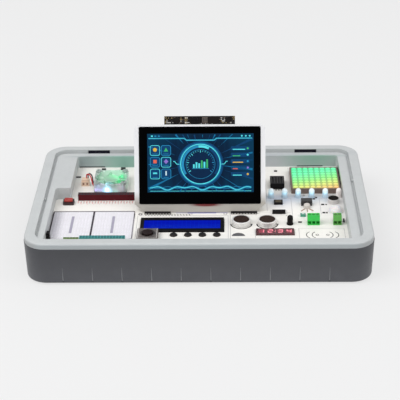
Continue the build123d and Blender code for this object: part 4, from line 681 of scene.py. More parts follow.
# %% Finish the coloured plastics
MIRROR = "Specular_IOR_Level"
plastics = {}
for name, colour, recipe, more, nodes in (
    ("black_nylon", (0.006, 0.005, 0.006), (0.42, 0.25, 0.012, 0.15), {MIRROR: 0.14},
     "power_inlet display_bezel key_bases sockets_black infrared_bullet"
     " humidity_sensor board_chips camera_lens fan_core"),
    ("can_pale", (0.66, 0.62, 0.61), (0.38, 0.3, 0.008), {"Metallic": 0.3}, "microphone"),
    ("nylon_clear", (0.50, 0.60, 0.56), (0.3, 0.3, 0.01), {"Transmission_Weight": 0.35}, "fan_screws"),
    ("base_brown", (0.028, 0.010, 0.012), (0.4, 0.25, 0.012), {}, "reset_base"),
    ("relay_grey", (0.026, 0.024, 0.025), (0.45, 0.25, 0.012), {}, "relay"),
    ("key_black", (0.018, 0.014, 0.013), (0.36, 0.2, 0.01), {MIRROR: 0.25},
     "key_cap_1 key_cap_2 key_cap_3 key_cap_4"),
    ("socket_maroon", (0.085, 0.005, 0.010), (0.46, 0.25, 0.012, 0.10), {MIRROR: 0.15}, "socket_red"),
    ("button_red", (0.36, 0.035, 0.028), (0.30, 0.3, 0.008), {}, "reset_cap"),
    ("socket_teal", (0.045, 0.30, 0.275), (0.42, 0.25, 0.012), {}, "socket_teal"),
    ("socket_lime", (0.150, 0.270, 0.055), (0.42, 0.25, 0.012), {}, "socket_lime"),
    ("terminal_green", (0.025, 0.50, 0.062), (0.34, 0.3, 0.012), {}, "terminal_blocks"),
    ("stick_grey", (0.17, 0.145, 0.135), (0.32, 0.2, 0.015, 0.32), {"Metallic": 0.35}, "stick_case"),
    ("stick_dark", (0.016, 0.007, 0.007), (0.45, 0.2, 0.02), {MIRROR: 0.2}, "stick_cap stick_carriage"),
    ("plug_cream", (0.76, 0.57, 0.43), (0.40, 0.3, 0.012), {}, "fan_plug"),
    ("lead_red", (0.50, 0.012, 0.016), (0.34, 0.2, 0.008), {}, "fan_lead_red"),
    ("lead_black", (0.018, 0.014, 0.014), (0.36, 0.2, 0.008), {}, "fan_lead_black"),
    ("sensor_cream", (0.34, 0.22, 0.16), (0.36, 0.3, 0.01), {}, "light_sensor"),
):
    plastics[name] = moulded(name, colour, *recipe, **more)
    dress(plastics[name], *nodes.split())
tint_and_light_spot(plastics["terminal_green"], (117.7, -34.5, 29), 12, 4.0, (0.085, 0.36, 0.055))
tint_and_light_spot(plastics["sensor_cream"], (93.4, -5.6, 26.9), 5.2, 4.0, (0.62, 0.57, 0.53))

# %% [markdown]
# The tops of the sockets are rows of square mouths for pins. A dark square ring round each mouth is painted
# shade where its hole goes down, the plug's slots get dark strips of painted shade, and pale strips along the
# joystick case's edges are painted highlights. The chips have lids of another colour: brown on the motion
# chip, teal on the trimmer.

# %% Darken the mouths of the sockets
mouths = Work()
PLUG, COLLAR, COMB_AND_HIGHLIGHT = 3, 4, 5
SOCKETS = ("socket_red", 20, 2), ("socket_teal", 15, 2), ("socket_lime", 5, 1)
# Painted shade: a dark square ring round each socket mouth, where its hole goes down.
for kind, (node, ways, rows) in enumerate(SOCKETS):
    low, high = (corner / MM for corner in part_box(node))
    for k in range(ways):
        for m in range(rows):
            x = low.x + (k + 0.5) * (high.x - low.x) / ways
            y = low.y + (m + 0.5) * (high.y - low.y) / rows
            mouths.stroke(rectangle(x, y, 1.3, 1.3), 0.5, high.z + 0.02, kind, closed=True)
# Painted shade in the plug's two front slots.
for x in (-1.7, 1.7):
    mouths.block(-104.9 + x, 38.2, 25.9, (1.5, 0.3, 2.0), PLUG)
STICK_TOP = 29.63
mouths.circle(-43.5, -59.6, 5.9, 0.8, STICK_TOP, COLLAR, 32)
# Painted highlights: pale strips along the joystick case's side edges and front edge.
for x in (-51.4, -35.6):
    mouths.stroke([(x, -67.8), (x, -51.4)], 0.7, STICK_TOP, COMB_AND_HIGHLIGHT)
mouths.stroke([(-51.7, -68.0), (-35.3, -68.0)], 0.5, STICK_TOP, COMB_AND_HIGHLIGHT)
for start in COMBS:
    for k in range(9):
        mouths.block(start + PIN_PITCH * k, -17.55, BOARD, (1.5, 0.25, 1.1), COMB_AND_HIGHLIGHT)
mouth_red = moulded("mouth_red", (0.026, 0.052, 0.060), 0.6, grain=0.2, Specular_IOR_Level=0.1)
mouth_finishes = [mouth_red] + moulded_all([
    ("mouth_teal", (0.010, 0.10, 0.12), 0.6),
    ("mouth_lime", (0.03, 0.05, 0.015), 0.6),
    ("mouth_plug", (0.30, 0.16, 0.11), 0.6),
    ("collar_grey", (0.035, 0.026, 0.024), 0.35),
    ("comb_foot_and_highlight", (0.42, 0.40, 0.38), 0.5),
], grain=0.2)
mouths.piece("socket_mouths", mouth_finishes, "kit")

lids = Work()
LID, TRIMMER, DISC, RIB_HIGHLIGHT = range(4)
TRIMMER_AT = (89.2, -20.9)
lids.block(68.7, 3.2, 26.6, (5.2, 3.8, 0.06), LID)
lids.block(*TRIMMER_AT, 24.62, (4.5, 3.9, 2.1), TRIMMER, 0.3)
lids.plate(ring(*TRIMMER_AT, 1.25, 16), 26.72, 26.9, DISC, 0.08)
# Painted highlights: pale grey strips on the humidity sensor's ribs, where light catches their top edges.
for k in range(5):
    lids.block(63.9 + 2.5 * k, 38.4, 30.1, (0.5, 12.6, 0.06), RIB_HIGHLIGHT)
lid_brown = moulded("lid_brown", (0.055, 0.036, 0.008), 0.4, grain=0.15)
lid_finishes = [lid_brown] + moulded_all([
    ("trimmer_teal", (0.075, 0.36, 0.25), 0.4),
    ("trimmer_disc", (0.55, 0.62, 0.58), 0.4),
    ("rib_highlight_grey", (0.05, 0.046, 0.046), 0.5),
], grain=0.2)
lids.piece("chip_lids_and_highlights", lid_finishes, "kit")

# %% [markdown]
# ## Plug-in breadboards
#
# A breadboard is white plastic with a grid of square holes, each with a spring clip deep inside. The holes
# are already in the solids. The plastic looks slightly violet, and the walls of the holes hardly darker,
# because light seeps through the thin white walls. Real depth alone makes the holes far too dark, and a
# plastic that lets light through is slow to work out, so the walls below the top give a little light of
# their own. The dark gap round the pair and between them is painted shade, strips round them, and a
# lavender strip of painted shade runs down the middle trench of each.

# %% Finish the breadboards
breadboard = moulded(
    "breadboard_white", (0.765, 0.748, 0.785), 0.48, grain=0.4, depth=0.01, uneven=0.02,
    Emission_Color=(0.70, 0.68, 0.74, 1),
)
inside = breadboard.node_tree
depths = spread(inside, rising(inside, 25.2, 25.4), 0.37, 0.0)
inside.links.new(depths, inside.nodes["Principled BSDF"].inputs["Emission Strength"])
# Painted shadow of the tray's left wall on the left end of the left board.
tint_and_light_spot(breadboard, (-125, -36, 25.4), 9.5, 0.75, (0.42, 0.41, 0.45), (1, 0.12, 1))
dress(breadboard, "breadboard_left", "breadboard_right")
gap_shade = Work()
DARK, PALER, TRENCH = range(3)
near_left, far_left = (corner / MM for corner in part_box("breadboard_left"))
near_right, far_right = (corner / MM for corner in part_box("breadboard_right"))
left, right, front, back = near_left.x, far_right.x, near_left.y, far_left.y
gap = (far_left.x + near_right.x) / 2
# Painted shade in the gap: dark strips behind and left of the pair, a paler one at the right, and a dark
# strip between them.
for corners, height, finish in (
    ((left - 0.7, back, right + 0.4, back + 1.1), 0.85, DARK),
    ((left - 1.0, front, left, back + 0.1), 0.85, DARK),
    ((right, front, right + 0.3, back), 0.7, PALER),
):
    gap_shade.plate(between(*corners), BOARD, BOARD + height, finish)
gap_shade.block(gap, (front + back) / 2, BOARD, (1.1, back - front, 0.75), DARK)
gap_shade.stroke([(gap, front), (gap, back)], 1.6, 25.43, DARK)
for low, high in ((near_left, far_left), (near_right, far_right)):
    middle = (low + high) / 2
    gap_shade.stroke([(middle.x, middle.y - 15), (middle.x, middle.y + 15)], 2.3, 25.42, TRENCH)
gap_shade_finishes = moulded_all([
    ("gap_shade_dark", (0.020, 0.012, 0.024), 0.6),
    ("gap_shade_grey", (0.25, 0.23, 0.25), 0.6),
    ("trench_shade", (0.36, 0.34, 0.43), 0.6),
], grain=0.2)
gap_shade.piece("breadboard_gap_shade", gap_shade_finishes, "kit")
print("breadboards from", round(left, 1), "to", round(right, 1), "mm, gap at", round(gap, 1))

# %% [markdown]
# ## The fan with its lights
#
# The fan is clear plastic with a light in each corner, and it shows the light it carries: green over the
# blades at the back, white-blue at the front, violet at the left. Clear plastic could be pure glass, but
# thin walls over a white board would vanish, so it is glass with a little roughness that also glows near
# the lights.

# %% Finish the clear fan
def glow(tree, shader, spots):
    """Adds the light of coloured spots: each is (place, reach, strength, colour)."""
    total = None
    for place, reach, strength, colour in spots:
        sockets = {0: colour, "Scale": near(tree, place, reach, strength)}
        spot = add_node(tree, "VectorMath", sockets, operation="SCALE").outputs[0]
        total = spot if total is None else add_node(tree, "VectorMath", {0: total, 1: spot}).outputs[0]
    tree.links.new(total, shader.inputs["Emission Color"])
    shader.inputs["Emission Strength"].default_value = 1.0


def fan_plastic(name, colour, clear, grain, depth, clouds, spots):
    """Clear plastic, a little rough; the places of its spots count from the fan's middle."""
    finish, tree, shader = bare_finish(name, colour, 0.16, Transmission_Weight=clear, IOR=1.46)
    dent(tree, shader, noise(tree, grain), depth)
    cloudy(tree, shader, *clouds)
    glow(tree, shader, [(FAN + Vector(place), *rest) for place, *rest in spots])
    return finish


frame_clouds = 6, (0.74, 0.82, 0.79), (0.86, 0.91, 0.89)
fan_clear = fan_plastic("fan_clear", (0.80, 0.86, 0.84), 0.58, 0.5, 0.02, frame_clouds, [
    ((2, 6, 3), 22, 0.18, (0.12, 0.95, 0.45)),
    ((-2.9, -15, -2), 6, 1.0, (0.28, 0.62, 1.0)),
    ((-11, -15, 0), 7, 0.16, (0.48, 0.44, 1.0)),
    ((4, -15, -4), 5.5, 0.15, (0.05, 0.70, 0.55)),
    ((9, -15, 0), 6, 0.16, (0.80, 0.50, 0.80)),
])
dress(fan_clear, "fan_frame")
blade_clouds = 5, (0.52, 0.80, 0.62), (0.66, 0.92, 0.76)
blade_clear = fan_plastic("blade_clear", (0.62, 0.90, 0.72), 0.6, 0.4, 0.015, blade_clouds, [
    ((6, 5, 1), 15, 0.26, (0.05, 0.80, 0.28)),
    ((-3, -12, 0), 8, 0.5, (0.35, 0.65, 1.0)),
])
dress(blade_clear, "fan_rotor")

# %% [markdown]
# The lights themselves are small lit slips in the frame. They could be lamps of the scene, but then their
# light would have no visible source, so each is a lit face behind the clear wall.

# %% Light the fan's corners
def lit(name, colour, strength):
    """The face of a small lamp: a colour that gives light."""
    finish, tree, shader = bare_finish(name, pale(colour, -0.3), 0.3, Emission_Strength=strength)
    cloudy(tree, shader, 1.5, pale(colour, -0.12), colour, "Emission Color")
    return finish


corner_lights = Work()
MINT, ICE, MAUVE = range(3)
for dx, dy, finish in ((9.6, 12.6, MINT), (-2.9, -14.4, ICE), (-9.0, -14.3, MAUVE), (-12.6, -14.3, MAUVE)):
    corner_lights.plate(rounded(FAN.x + dx, FAN.y + dy, 2.4, 1.0, 0.3), 26.2, 28.6, finish, 0.2)
light_finishes = [
    lit("light_green", (0.10, 1.0, 0.40), 1.4),
    lit("light_blue", (0.62, 0.86, 1.0), 5),
    lit("light_violet", (0.60, 0.50, 1.0), 0.8),
]
corner_lights.piece("fan_lights", light_finishes, "kit")

# %% [markdown]
# ## The six lamps
#
# Five of the six lamps are lit, cold white with a blue edge. Each is a clear epoxy bullet round a tiny
# chip in a reflector cup. The bullet is milky glass, and the chip's light fills its rounded head, from
# a spot a little in front of the middle. The last lamp is off: the same bullet, with a trace of warm light.

# %% Finish the lamps
lamp_clear, tree, shader = bare_finish(
    "lamp_clear", (0.80, 0.78, 0.78), 0.22, Transmission_Weight=0.10, IOR=1.5
)
dent(tree, shader, noise(tree, 0.6), 0.01)
cloudy(tree, shader, 4, (0.84, 0.81, 0.80), (0.90, 0.87, 0.86))
# Painted light: a strong pale blue tint low on every bullet, the blue of the lamps' light.
tint_and_light_spot(lamp_clear, (86.7, 15, 26.0), 60, 5, (0.58, 0.71, 0.81), (1, 1, 12))
tint_and_light_spot(lamp_clear, (*LAMPS[5], 28), 8, 4, (0.95, 0.88, 0.85))
heads = [((x, y - 1.8, 30.2), 4.8, 0.40, (0.26, 0.74, 0.94)) for x, y in LAMPS[:5]]
glow(tree, shader, heads + [((*LAMPS[5], 30), 6, 0.10, (1, 0.9, 0.86))])
dress(lamp_clear, "lamps")

cups = Work()
GLOWING, BARE = range(2)
LEG_FOOT, LEG = BOARD + 0.1, 0.22
for k, (x, y) in enumerate(LAMPS):
    cups.plate(ring(x, y, 0.9, 12), 28.0, 29.2, GLOWING if k < 5 else BARE, 0.3)
    for leg, top, bend in ((-PIN_PITCH / 2, 28.0, -0.3), (PIN_PITCH / 2, 27.6, 0.9)):
        cups.wire([(x + leg, y, LEG_FOOT), (x + leg, y, top), (x + bend, y, top + 0.6)], LEG, BARE, 6)
cups.piece("lamp_chips", [lit("light_cold", (0.62, 0.88, 1.0), 4), TINNED], "kit")

# %% [markdown]
# ## The lamp matrix
#
# Eight rows of eight lenses, lit from mint green at the back to amber at the right front. The change of
# colour is smooth, so one position-driven ramp does all 64: it reads how far forward a lens is, plus a
# little of how far right. Each lens is brighter in its middle, which a small domed cap over it gives.

# %% Finish the matrix
MATRIX_SIZE = 41.4
LENS_PITCH = MATRIX_SIZE / 8
SLOPE = Vector((0.22, -0.78, 0)) / MATRIX_SIZE
BANDS = [
    (0.00, (0.02, 0.90, 0.36)), (0.30, (0.10, 0.97, 0.42)), (0.55, (0.24, 0.90, 0.22)),
    (0.78, (0.66, 0.76, 0.16)), (1.00, (0.92, 0.42, 0.14)),
]


def matrix_light(name, strength, dim):
    """Light whose colour runs over the matrix from the back left to the front right."""
    finish, tree, shader = bare_finish(name, (0.10, 0.12, 0.08), 0.30, Emission_Strength=strength)
    sockets = {0: here(tree), 1: SLOPE / MM}
    run = add_node(tree, "VectorMath", sockets, operation="DOT_PRODUCT").outputs["Value"]
    middle = SLOPE.dot(MATRIX)
    sockets = {"Value": run, "From Min": middle - 0.5, "From Max": middle + 0.5}
    share = add_node(tree, "MapRange", sockets).outputs[0]
    colours = ramp(tree, share, [(stop, pale(colour, -dim)) for stop, colour in BANDS])
    tree.links.new(colours, shader.inputs["Emission Color"])
    uneven_gloss(tree, shader, 2.0, 0.2, 0.34)
    dent(tree, shader, noise(tree, 0.5), 0.01)
    return finish


dress(moulded("matrix_brown", (0.17, 0.115, 0.095), 0.5, grain=0.3, depth=0.015), "matrix_body")
dress(matrix_light("matrix_gaps", 0.72, 0.22), "matrix_plate")
caps = Work()
for row in range(8):
    for column in range(8):
        x = MATRIX.x + (column - 3.5) * LENS_PITCH
        y = MATRIX.y + (row - 3.5) * LENS_PITCH
        caps.plate(rounded(x, y, 3.7, 3.8, 1.4, 3), MATRIX.z, MATRIX.z + 0.35, 0, 0.25)
caps.piece("matrix_lights", [matrix_light("matrix_caps", 1.05, 0.0)], "kit")

# %% [markdown]
# ## Distance sensors and the other senses
#
# Each distance sensor is a pressed aluminium can with a woven brown wire cloth in its mouth. Cloth this
# fine could be a bump pattern, but it would look printed from the side, so the wires are really laid:
# two sets of thin wires that cross, trimmed to the round mouth.

# %% Weave the wire cloth
can_silver = moulded("can_silver", (0.82, 0.80, 0.78), 0.30, 0.4, 0.01, 0.03, Metallic=0.25)
dress(can_silver, "sensor_cans")
mesh_brown = moulded("mesh_brown", (0.018, 0.010, 0.008), 0.8, 0.25, 0.05, Specular_IOR_Level=0.1)
dress(mesh_brown, "can_meshes")
cloth = Work()
MOUTH, THREAD, CLOTH = 6.7, 0.12, 28.9
for can in CANS:
    for k in range(-9, 10):
        off = k * 0.7
        half = math.sqrt(MOUTH ** 2 - off ** 2)
        x, under, over = can + off, CLOTH - 0.05, CLOTH + 0.05
        cloth.wire([(x, CAN_Y - half, under), (x, CAN_Y + half, under)], THREAD, 0, 5)
        cloth.wire([(can - half, CAN_Y + off, over), (can + half, CAN_Y + off, over)], THREAD, 0, 5)
wire_brown = moulded("wire_brown", (0.050, 0.026, 0.018), 0.5, grain=0.2, Metallic=0.3)
cloth.piece("can_cloth", [wire_brown], "kit")

# %% [markdown]
# The motion sensor's lens is a milky dome pressed with many small facets, each one a lens of its own.
# The facets are a cell pattern, and a cell pattern's edge distance makes their ridges.

# %% Press the facets of the milky dome
lens_milk, tree, shader = bare_finish(
    "lens_milk", (0.92, 0.91, 0.90), 0.32, Subsurface_Weight=0.25, Subsurface_Scale=0.002
)
sockets = {"Vector": here(tree), "Scale": 520, "Randomness": 0.25}
cells = add_node(tree, "TexVoronoi", sockets, feature="DISTANCE_TO_EDGE").outputs["Distance"]
dent(tree, shader, cells, 0.35)
# Painted shade: the colour is darker along the cell edges, in the grooves between facets.
ridges = ramp(tree, cells, [(0.0, (0.70, 0.69, 0.68)), (0.12, (0.84, 0.82, 0.81))])
tree.links.new(ridges, shader.inputs["Base Color"])
dress(lens_milk, "motion_lens")

# %% [markdown]
# ## Character display
#
# The blue display is a glass cell lit from behind: an even, strong blue with a faintly darker box for each
# of its two rows of sixteen characters. The boxes are a brick pattern that doesn't shift from row to row.

# %% Light the blue display
BOX_LENGTH, BOX_DEPTH = 3.55, 5.6
VIEW_X, VIEW_Y = -15.0, -37.3
display_blue, tree, shader = bare_finish(
    "display_blue", (0.002, 0.004, 0.10), 0.12, Specular_IOR_Level=0.25, Emission_Strength=1.0
)
start = ((8 * BOX_LENGTH - VIEW_X) * MM, (BOX_DEPTH - VIEW_Y) * MM, 0)
shift = add_node(tree, "Mapping", {"Vector": here(tree), "Location": start}).outputs[0]
blues = (0.0, 0.004, 0.32), (0.0, 0.005, 0.345), (0.0, 0.009, 0.38)
boxes = bricks(tree, shift, blues, BOX_LENGTH, BOX_DEPTH, 0.3, offset=0.0)
tree.links.new(boxes["Color"], shader.inputs["Emission Color"])
uneven_gloss(tree, shader, 8, 0.10, 0.18)
dress(display_blue, "display_pane")
print("two rows of boxes over", round(16 * BOX_LENGTH, 1), "mm")

# %% [markdown]
# ## Four red digits
#
# Each digit has seven bars, and a lit bar is pink-red because the lamp behind it outshines its red filter.
# The face is dark red plastic. A bar is a hexagon, so one outline is turned for the upright ones, and a
# short table says which bars each number needs. The numbers here are plain: 1, 2, 3 and 4. Some of the
# light spreads inside the filter, so a dim red plate lies under each digit.

# %% Light the digits
dress(moulded("digits_dark", (0.085, 0.026, 0.030), 0.28, grain=0.3, depth=0.006), "digit_display")
BARS = {"1": "bc", "2": "abged", "3": "abgcd", "4": "fgbc"}
WIDE, TALL, THICK = 3.5, 2.6, 0.75
PLACES = {
    "a": (0, TALL, 0), "g": (0, 0, 0), "d": (0, -TALL, 0),
    "f": (-WIDE / 2, TALL / 2, 1), "b": (WIDE / 2, TALL / 2, 1),
    "e": (-WIDE / 2, -TALL / 2, 1), "c": (WIDE / 2, -TALL / 2, 1),
}
DIGITS_X, DIGITS_Y, DIGIT_PITCH, PAIR_GAP, SLANT = 64.2, -50.4, 7.4, 0.5, 0.12
digit_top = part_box("digit_display")[1].z / MM
foot, head = digit_top + 0.01, digit_top + 0.06
digits = Work()
LIT_BAR, DEAD_BAR, BEHIND = range(3)
for k, number in enumerate("1234"):
    middle = DIGITS_X + (k - 1.5) * DIGIT_PITCH + (PAIR_GAP if k > 1 else -PAIR_GAP)
    digits.plate(rounded(middle, DIGITS_Y, 5.0, 6.4, 1.2, 3), digit_top - 0.05, digit_top + 0.005, BEHIND)
    for bar, (dx, dy, upright) in PLACES.items():
        reach, tip = (TALL if upright else WIDE) / 2 - 0.12, THICK / 2
        edge = reach - tip
        hexagon = [(-reach, 0), (-edge, -tip), (edge, -tip), (reach, 0), (edge, tip), (-edge, tip)]
        if upright:
            hexagon = [(-y, x) for x, y in hexagon]
        spot = [(middle + dx + x + (dy + y) * SLANT, DIGITS_Y + dy + y) for x, y in hexagon]
        digits.plate(spot, foot, head, LIT_BAR if bar in BARS[number] else DEAD_BAR)
for dy in (-1.4, 1.4):
    digits.plate(ring(DIGITS_X + dy * SLANT, DIGITS_Y + dy, 0.5, 10), foot, head, LIT_BAR)
bars_lit = lit("bar_lit", (0.78, 0.25, 0.30), 0.92)
bars_off = moulded("bar_off", (0.24, 0.07, 0.08), 0.35, grain=0.3, depth=0.004)
glow_behind = lit("bar_glow", (0.20, 0.015, 0.035), 1.0)
digits.piece("digit_bars", [bars_lit, bars_off, glow_behind], "kit")

# %% [markdown]
# ## The folding screen
#
# The housing is satin white plastic in two halves, and the front is one sheet of black-backed cover glass.
# The picture shows through a clear window in the black. Real glass over a lit panel would need many rays
# to look clean, so the picture is set as a lit sheet right on the glass, with the gloss of glass of its own.

# %% Finish the screen's housing and glass
# Painted glint: a dark red streak on the chin just under the glass.
RED_GLINT = HINGE @ (Vector((5, 0.4, 4.2)) * MM) / MM
# Painted shade: below 33 mm the white housing is a darker cream, the shade on its chin under the glass; by 42
# mm it is white.
screen_white = moulded("screen_white", (0.42, 0.395, 0.355), 0.42, grain=0.5, depth=0.015, uneven=0.015)
tinted(screen_white, rising(screen_white.node_tree, 33, 42), (0.87, 0.87, 0.88))
tint_and_light_spot(screen_white, RED_GLINT, 2.4, 1.6, (0.16, 0.012, 0.012), (0.13, 1, 1))
dress(screen_white, "screen_shell", "screen_frame")
dress(moulded("hinge_white", (0.76, 0.75, 0.73), 0.42, grain=0.4, depth=0.015), "hinge_brackets")
dress(metal("panel_metal", (0.50, 0.51, 0.52), 0.35), "display_panel")
cover, tree, shader = bare_finish("screen_black", (0.0004, 0.0004, 0.0006), 0.05, Specular_IOR_Level=0.02)
uneven_gloss(tree, shader, 14, 0.04, 0.10)
smears = [(0.35, (0.0004, 0.0004, 0.0006)), (0.65, (0.0009, 0.0009, 0.0012))]
tree.links.new(ramp(tree, noise(tree, 22, 3.0), smears), shader.inputs["Base Color"])
dress(cover, "screen_glass")

# %% [markdown]
# ## The picture on the screen
#
# The picture here is a made-up control panel in the same deep blues and cyans: a wide gauge in the middle,
# tiles at the left, rows of bars at the right, and a wave along the foot. It is drawn with flat shapes in
# thin layers, each layer a hair above the last, so every edge is sharp at any distance.
# The ground is near black in the middle, behind the gauge, and glows teal blue towards its edges.

# %% Draw the ground of the picture
GLASS = 4.77
VIEW = (0.6, 36.8)
SPAN = (92.3, 51.0)


def lit_flat(name, colour):
    """A flat lit colour under glass, a little uneven like a real panel."""
    finish, tree, shader = bare_finish(name, (0, 0, 0), 0.06, Specular_IOR_Level=0.10, Emission_Strength=1.0)
    cloudy(tree, shader, 3.0, pale(colour, -0.10), pale(colour, 0.10), "Emission Color")
    return finish


ground, tree, shader = bare_finish(
    "picture_ground", (0, 0, 0), 0.06, Specular_IOR_Level=0.10, Emission_Strength=1.0
)
middle = HINGE @ (Vector((*VIEW, GLASS)) * MM) / MM
long_way = add_node(tree, "Mapping", {"Vector": here(tree), "Scale": (4, 0.4, 0.4)}).outputs[0]
rays = add_node(tree, "TexNoise", {"Vector": long_way, "Scale": 60}).outputs["Fac"]
sockets = {0: near(tree, middle, 52, 1.0), 1: spread(tree, rays, 0.55, 1.0)}
mixed = add_node(tree, "Math", sockets, operation="MULTIPLY").outputs[0]
sea = [(0.0, (0.001, 0.039, 0.092)), (0.40, (0.001, 0.017, 0.050)), (1.0, (0.001, 0.004, 0.015))]
tree.links.new(ramp(tree, mixed, sea), shader.inputs["Emission Color"])

CYAN, SKY, DEEP, NAVY, WHITE = range(1, 6)
GREEN, AMBER, CORAL, PURPLE, RAY = range(6, 11)
picture_finishes = [ground] + [lit_flat("picture_" + name, colour) for name, colour in (
    ("cyan", (0.10, 0.74, 0.82)),
    ("sky", (0.02, 0.26, 0.50)),
    ("deep", (0.004, 0.055, 0.16)),
    ("navy", (0.002, 0.020, 0.065)),
    ("white", (0.62, 0.82, 0.88)),
    ("green", (0.05, 0.45, 0.16)),
    ("amber", (0.75, 0.48, 0.06)),
    ("coral", (0.75, 0.13, 0.08)),
    ("purple", (0.28, 0.18, 0.62)),
    ("ray", (0.008, 0.16, 0.34)),
)]
picture = Work()


def layer_height(layer):
    """Each layer lies a hair above the last."""
    return GLASS + 0.03 + layer * 0.012


def shape(outline, layer, finish):
    """A flat shape of the picture; outline counts from the picture's middle, in millimetres."""
    picture.face([(VIEW[0] + x, VIEW[1] + y, layer_height(layer)) for x, y in outline], finish)


def line(points, width, layer, finish, closed=False):
    """A line of the picture."""
    spots = [(VIEW[0] + x, VIEW[1] + y) for x, y in points]
    picture.stroke(spots, width, layer_height(layer), finish, closed)


def turned(x, y, radius, angle):
    """The point at an angle and a distance from x, y."""
    return x + radius * math.cos(angle), y + radius * math.sin(angle)


for k in range(30):
    turn = math.radians(3 + 12 * k + 4 * math.sin(5 * k))
    to_side = SPAN[0] / 2 / max(0.01, abs(math.cos(turn)))
    to_foot = SPAN[1] / 2 / max(0.01, abs(math.sin(turn)))
    far, tip, width = min(to_side, to_foot) - 1, 19 + 3 * math.sin(3 * k), math.radians(0.5 + 0.4 * (k % 3))
    ends = [turned(0, 0, r, t) for r, t in ((tip, turn), (far, turn - width), (far, turn + width))]
    shape(ends, 1, RAY if k % 2 else DEEP)
a, b = SPAN[0] / 24, SPAN[1] / 12
for k in range(24):
    for m in range(12):
        shape(rectangle((k - 11.5) * a, (m - 5.5) * b, a, b), 0, 0)

# %% [markdown]
# The gauge is the largest form of the picture: a ring, a dark disc, an arc that shows a level, short marks
# round it, and a few upright bars in its middle.

# %% Draw the gauge in the middle
DIAL, BARS_FOOT = (0.0, -1.0), -4.9
shape(ring(*DIAL, 17.2, 48), 1, NAVY)
for radius, start, end, width, layer, finish in (
    (18.2, 0, 360, 3.6, 1, DEEP),
    (17.6, 0, 360, 1.9, 2, RAY),
    (17.2, 0, 360, 0.8, 3, CYAN),
    (15.4, 214, -34, 2.0, 2, DEEP),
    (15.4, 214, 62, 2.0, 3, SKY),
    (15.4, 96, 62, 2.0, 4, CYAN),
    (12.6, 0, 360, 0.3, 2, SKY),
):
    line(arc(*DIAL, radius, start, end, max(8, int(abs(end - start) / 6))), width, layer, finish)
for k in range(25):
    turn = math.radians(214 - k * 248 / 24)
    inner = 10.9 if k % 4 else 10.1
    ends = [turned(*DIAL, r, turn) for r in (inner, 12.0)]
    line(ends, 0.35 if k % 4 else 0.6, 3, CYAN if k < 16 else SKY)
for k, height in enumerate((3.2, 5.0, 4.1, 6.6, 5.4, 7.6)):
    finish = GREEN if k in (3, 5) else CYAN
    shape(rectangle((k - 2.5) * 2.3, BARS_FOOT + 0.5 + height / 2, 1.5, height), 3, finish)
line([(-7.4, BARS_FOOT), (7.4, BARS_FOOT)], 0.4, 3, SKY)
for side in (-1, 1):
    line([(side * 17.6, -1), (side * 20.6, -1), (side * 22.4, 1.4), (side * 23.6, 1.4)], 0.6, 2, CYAN)

# %% [markdown]
# At the left are six tiles with plain signs, at the right five level bars, and a wave runs along the foot.
# Loops place them, so the spacing stays even.

# %% Draw the tiles, the bars and the wave
tile_motifs = [
    (AMBER, ring(0, 0, 1.7, 14)),
    (GREEN, [(-1.9, -1.5), (1.9, -1.5), (0, 1.9)]),
    (CORAL, rectangle(0, 0, 3.0, 3.0)),
    (PURPLE, [(0, 2.1), (-2.1, 0), (0, -2.1), (2.1, 0)]),
    (CYAN, [(-1.8, 0.7), (-1.8, -0.7), (1.8, -0.7), (1.8, 0.7)]),
    (WHITE, [(-0.6, 1.9), (-0.6, -1.9), (0.6, -1.9), (0.6, 1.9)]),
]
for k, (finish, motif) in enumerate(tile_motifs):
    x, y = -39.5 + 9.6 * (k % 2), 11.0 - 10.2 * (k // 2)
    tile = rounded(x, y, 8.2, 8.6, 1.6, 4)
    shape(tile, 1, DEEP)
    line(tile, 0.5, 2, CYAN if k in (0, 3, 4) else SKY, closed=True)
    shape([(x + a, y + b + 0.6) for a, b in motif], 2, finish)
    line([(x - 2.2, y - 3.0), (x + 2.2, y - 3.0)], 0.4, 2, SKY)
for k, share in enumerate((0.9, 0.55, 0.75, 0.35, 0.65)):
    y = 12.6 - 5.6 * k
    shape(rounded(34.6, y, 16.4, 3.6, 1.0, 3), 1, DEEP)
    shape(rectangle(28.0 + 6.0 * share, y - 0.9, 12.0 * share, 0.8), 2, (CYAN, GREEN, AMBER, CORAL, CYAN)[k])
    shape(ring(41.0, y, 0.9, 12), 2, (GREEN, CYAN, SKY, PURPLE, AMBER)[k])
WAVE_Y = -21.6
wave = [(-44 + 2 * k, WAVE_Y + 1.9 * math.sin(k * 0.62) * math.sin(k * 0.21)) for k in range(45)]
rail = [(-45, 21.4), (-14, 21.4), (-12, 19.8), (12, 19.8), (14, 21.4), (45, 21.4)]
for route, wide, thin in ((wave, 2.0, 0.6), (rail, 1.4, 0.4)):
    line(route, wide, 1, RAY)
    line(route, thin, 2, CYAN)
line([(x, WAVE_Y - 0.6 * (y - WAVE_Y)) for x, y in wave], 0.3, 1, SKY)
line([(-44, -24.4), (44, -24.4)], 0.4, 1, CYAN)
for k in range(3):
    shape(ring(36 + 3.4 * k, 23.4, 0.8, 12), 1, CYAN)
    shape(rectangle(-42 + 3.0 * k, 23.4, 1.7, 1.2), 1, CYAN if k == 0 else SKY)
picture.piece("screen_picture", picture_finishes, "screen", place=HINGE)

# %% [markdown]
# ## The camera board
#
# Above the screen stands a strip of brown circuit board with the camera. It is crowded: a dark sensor
# block, flat chips, rows of gold pads, and many pale and tan parts the size of sand. Random places would
# overlap, so a grid is walked and each cell takes a part or stays empty, from a fixed seed.

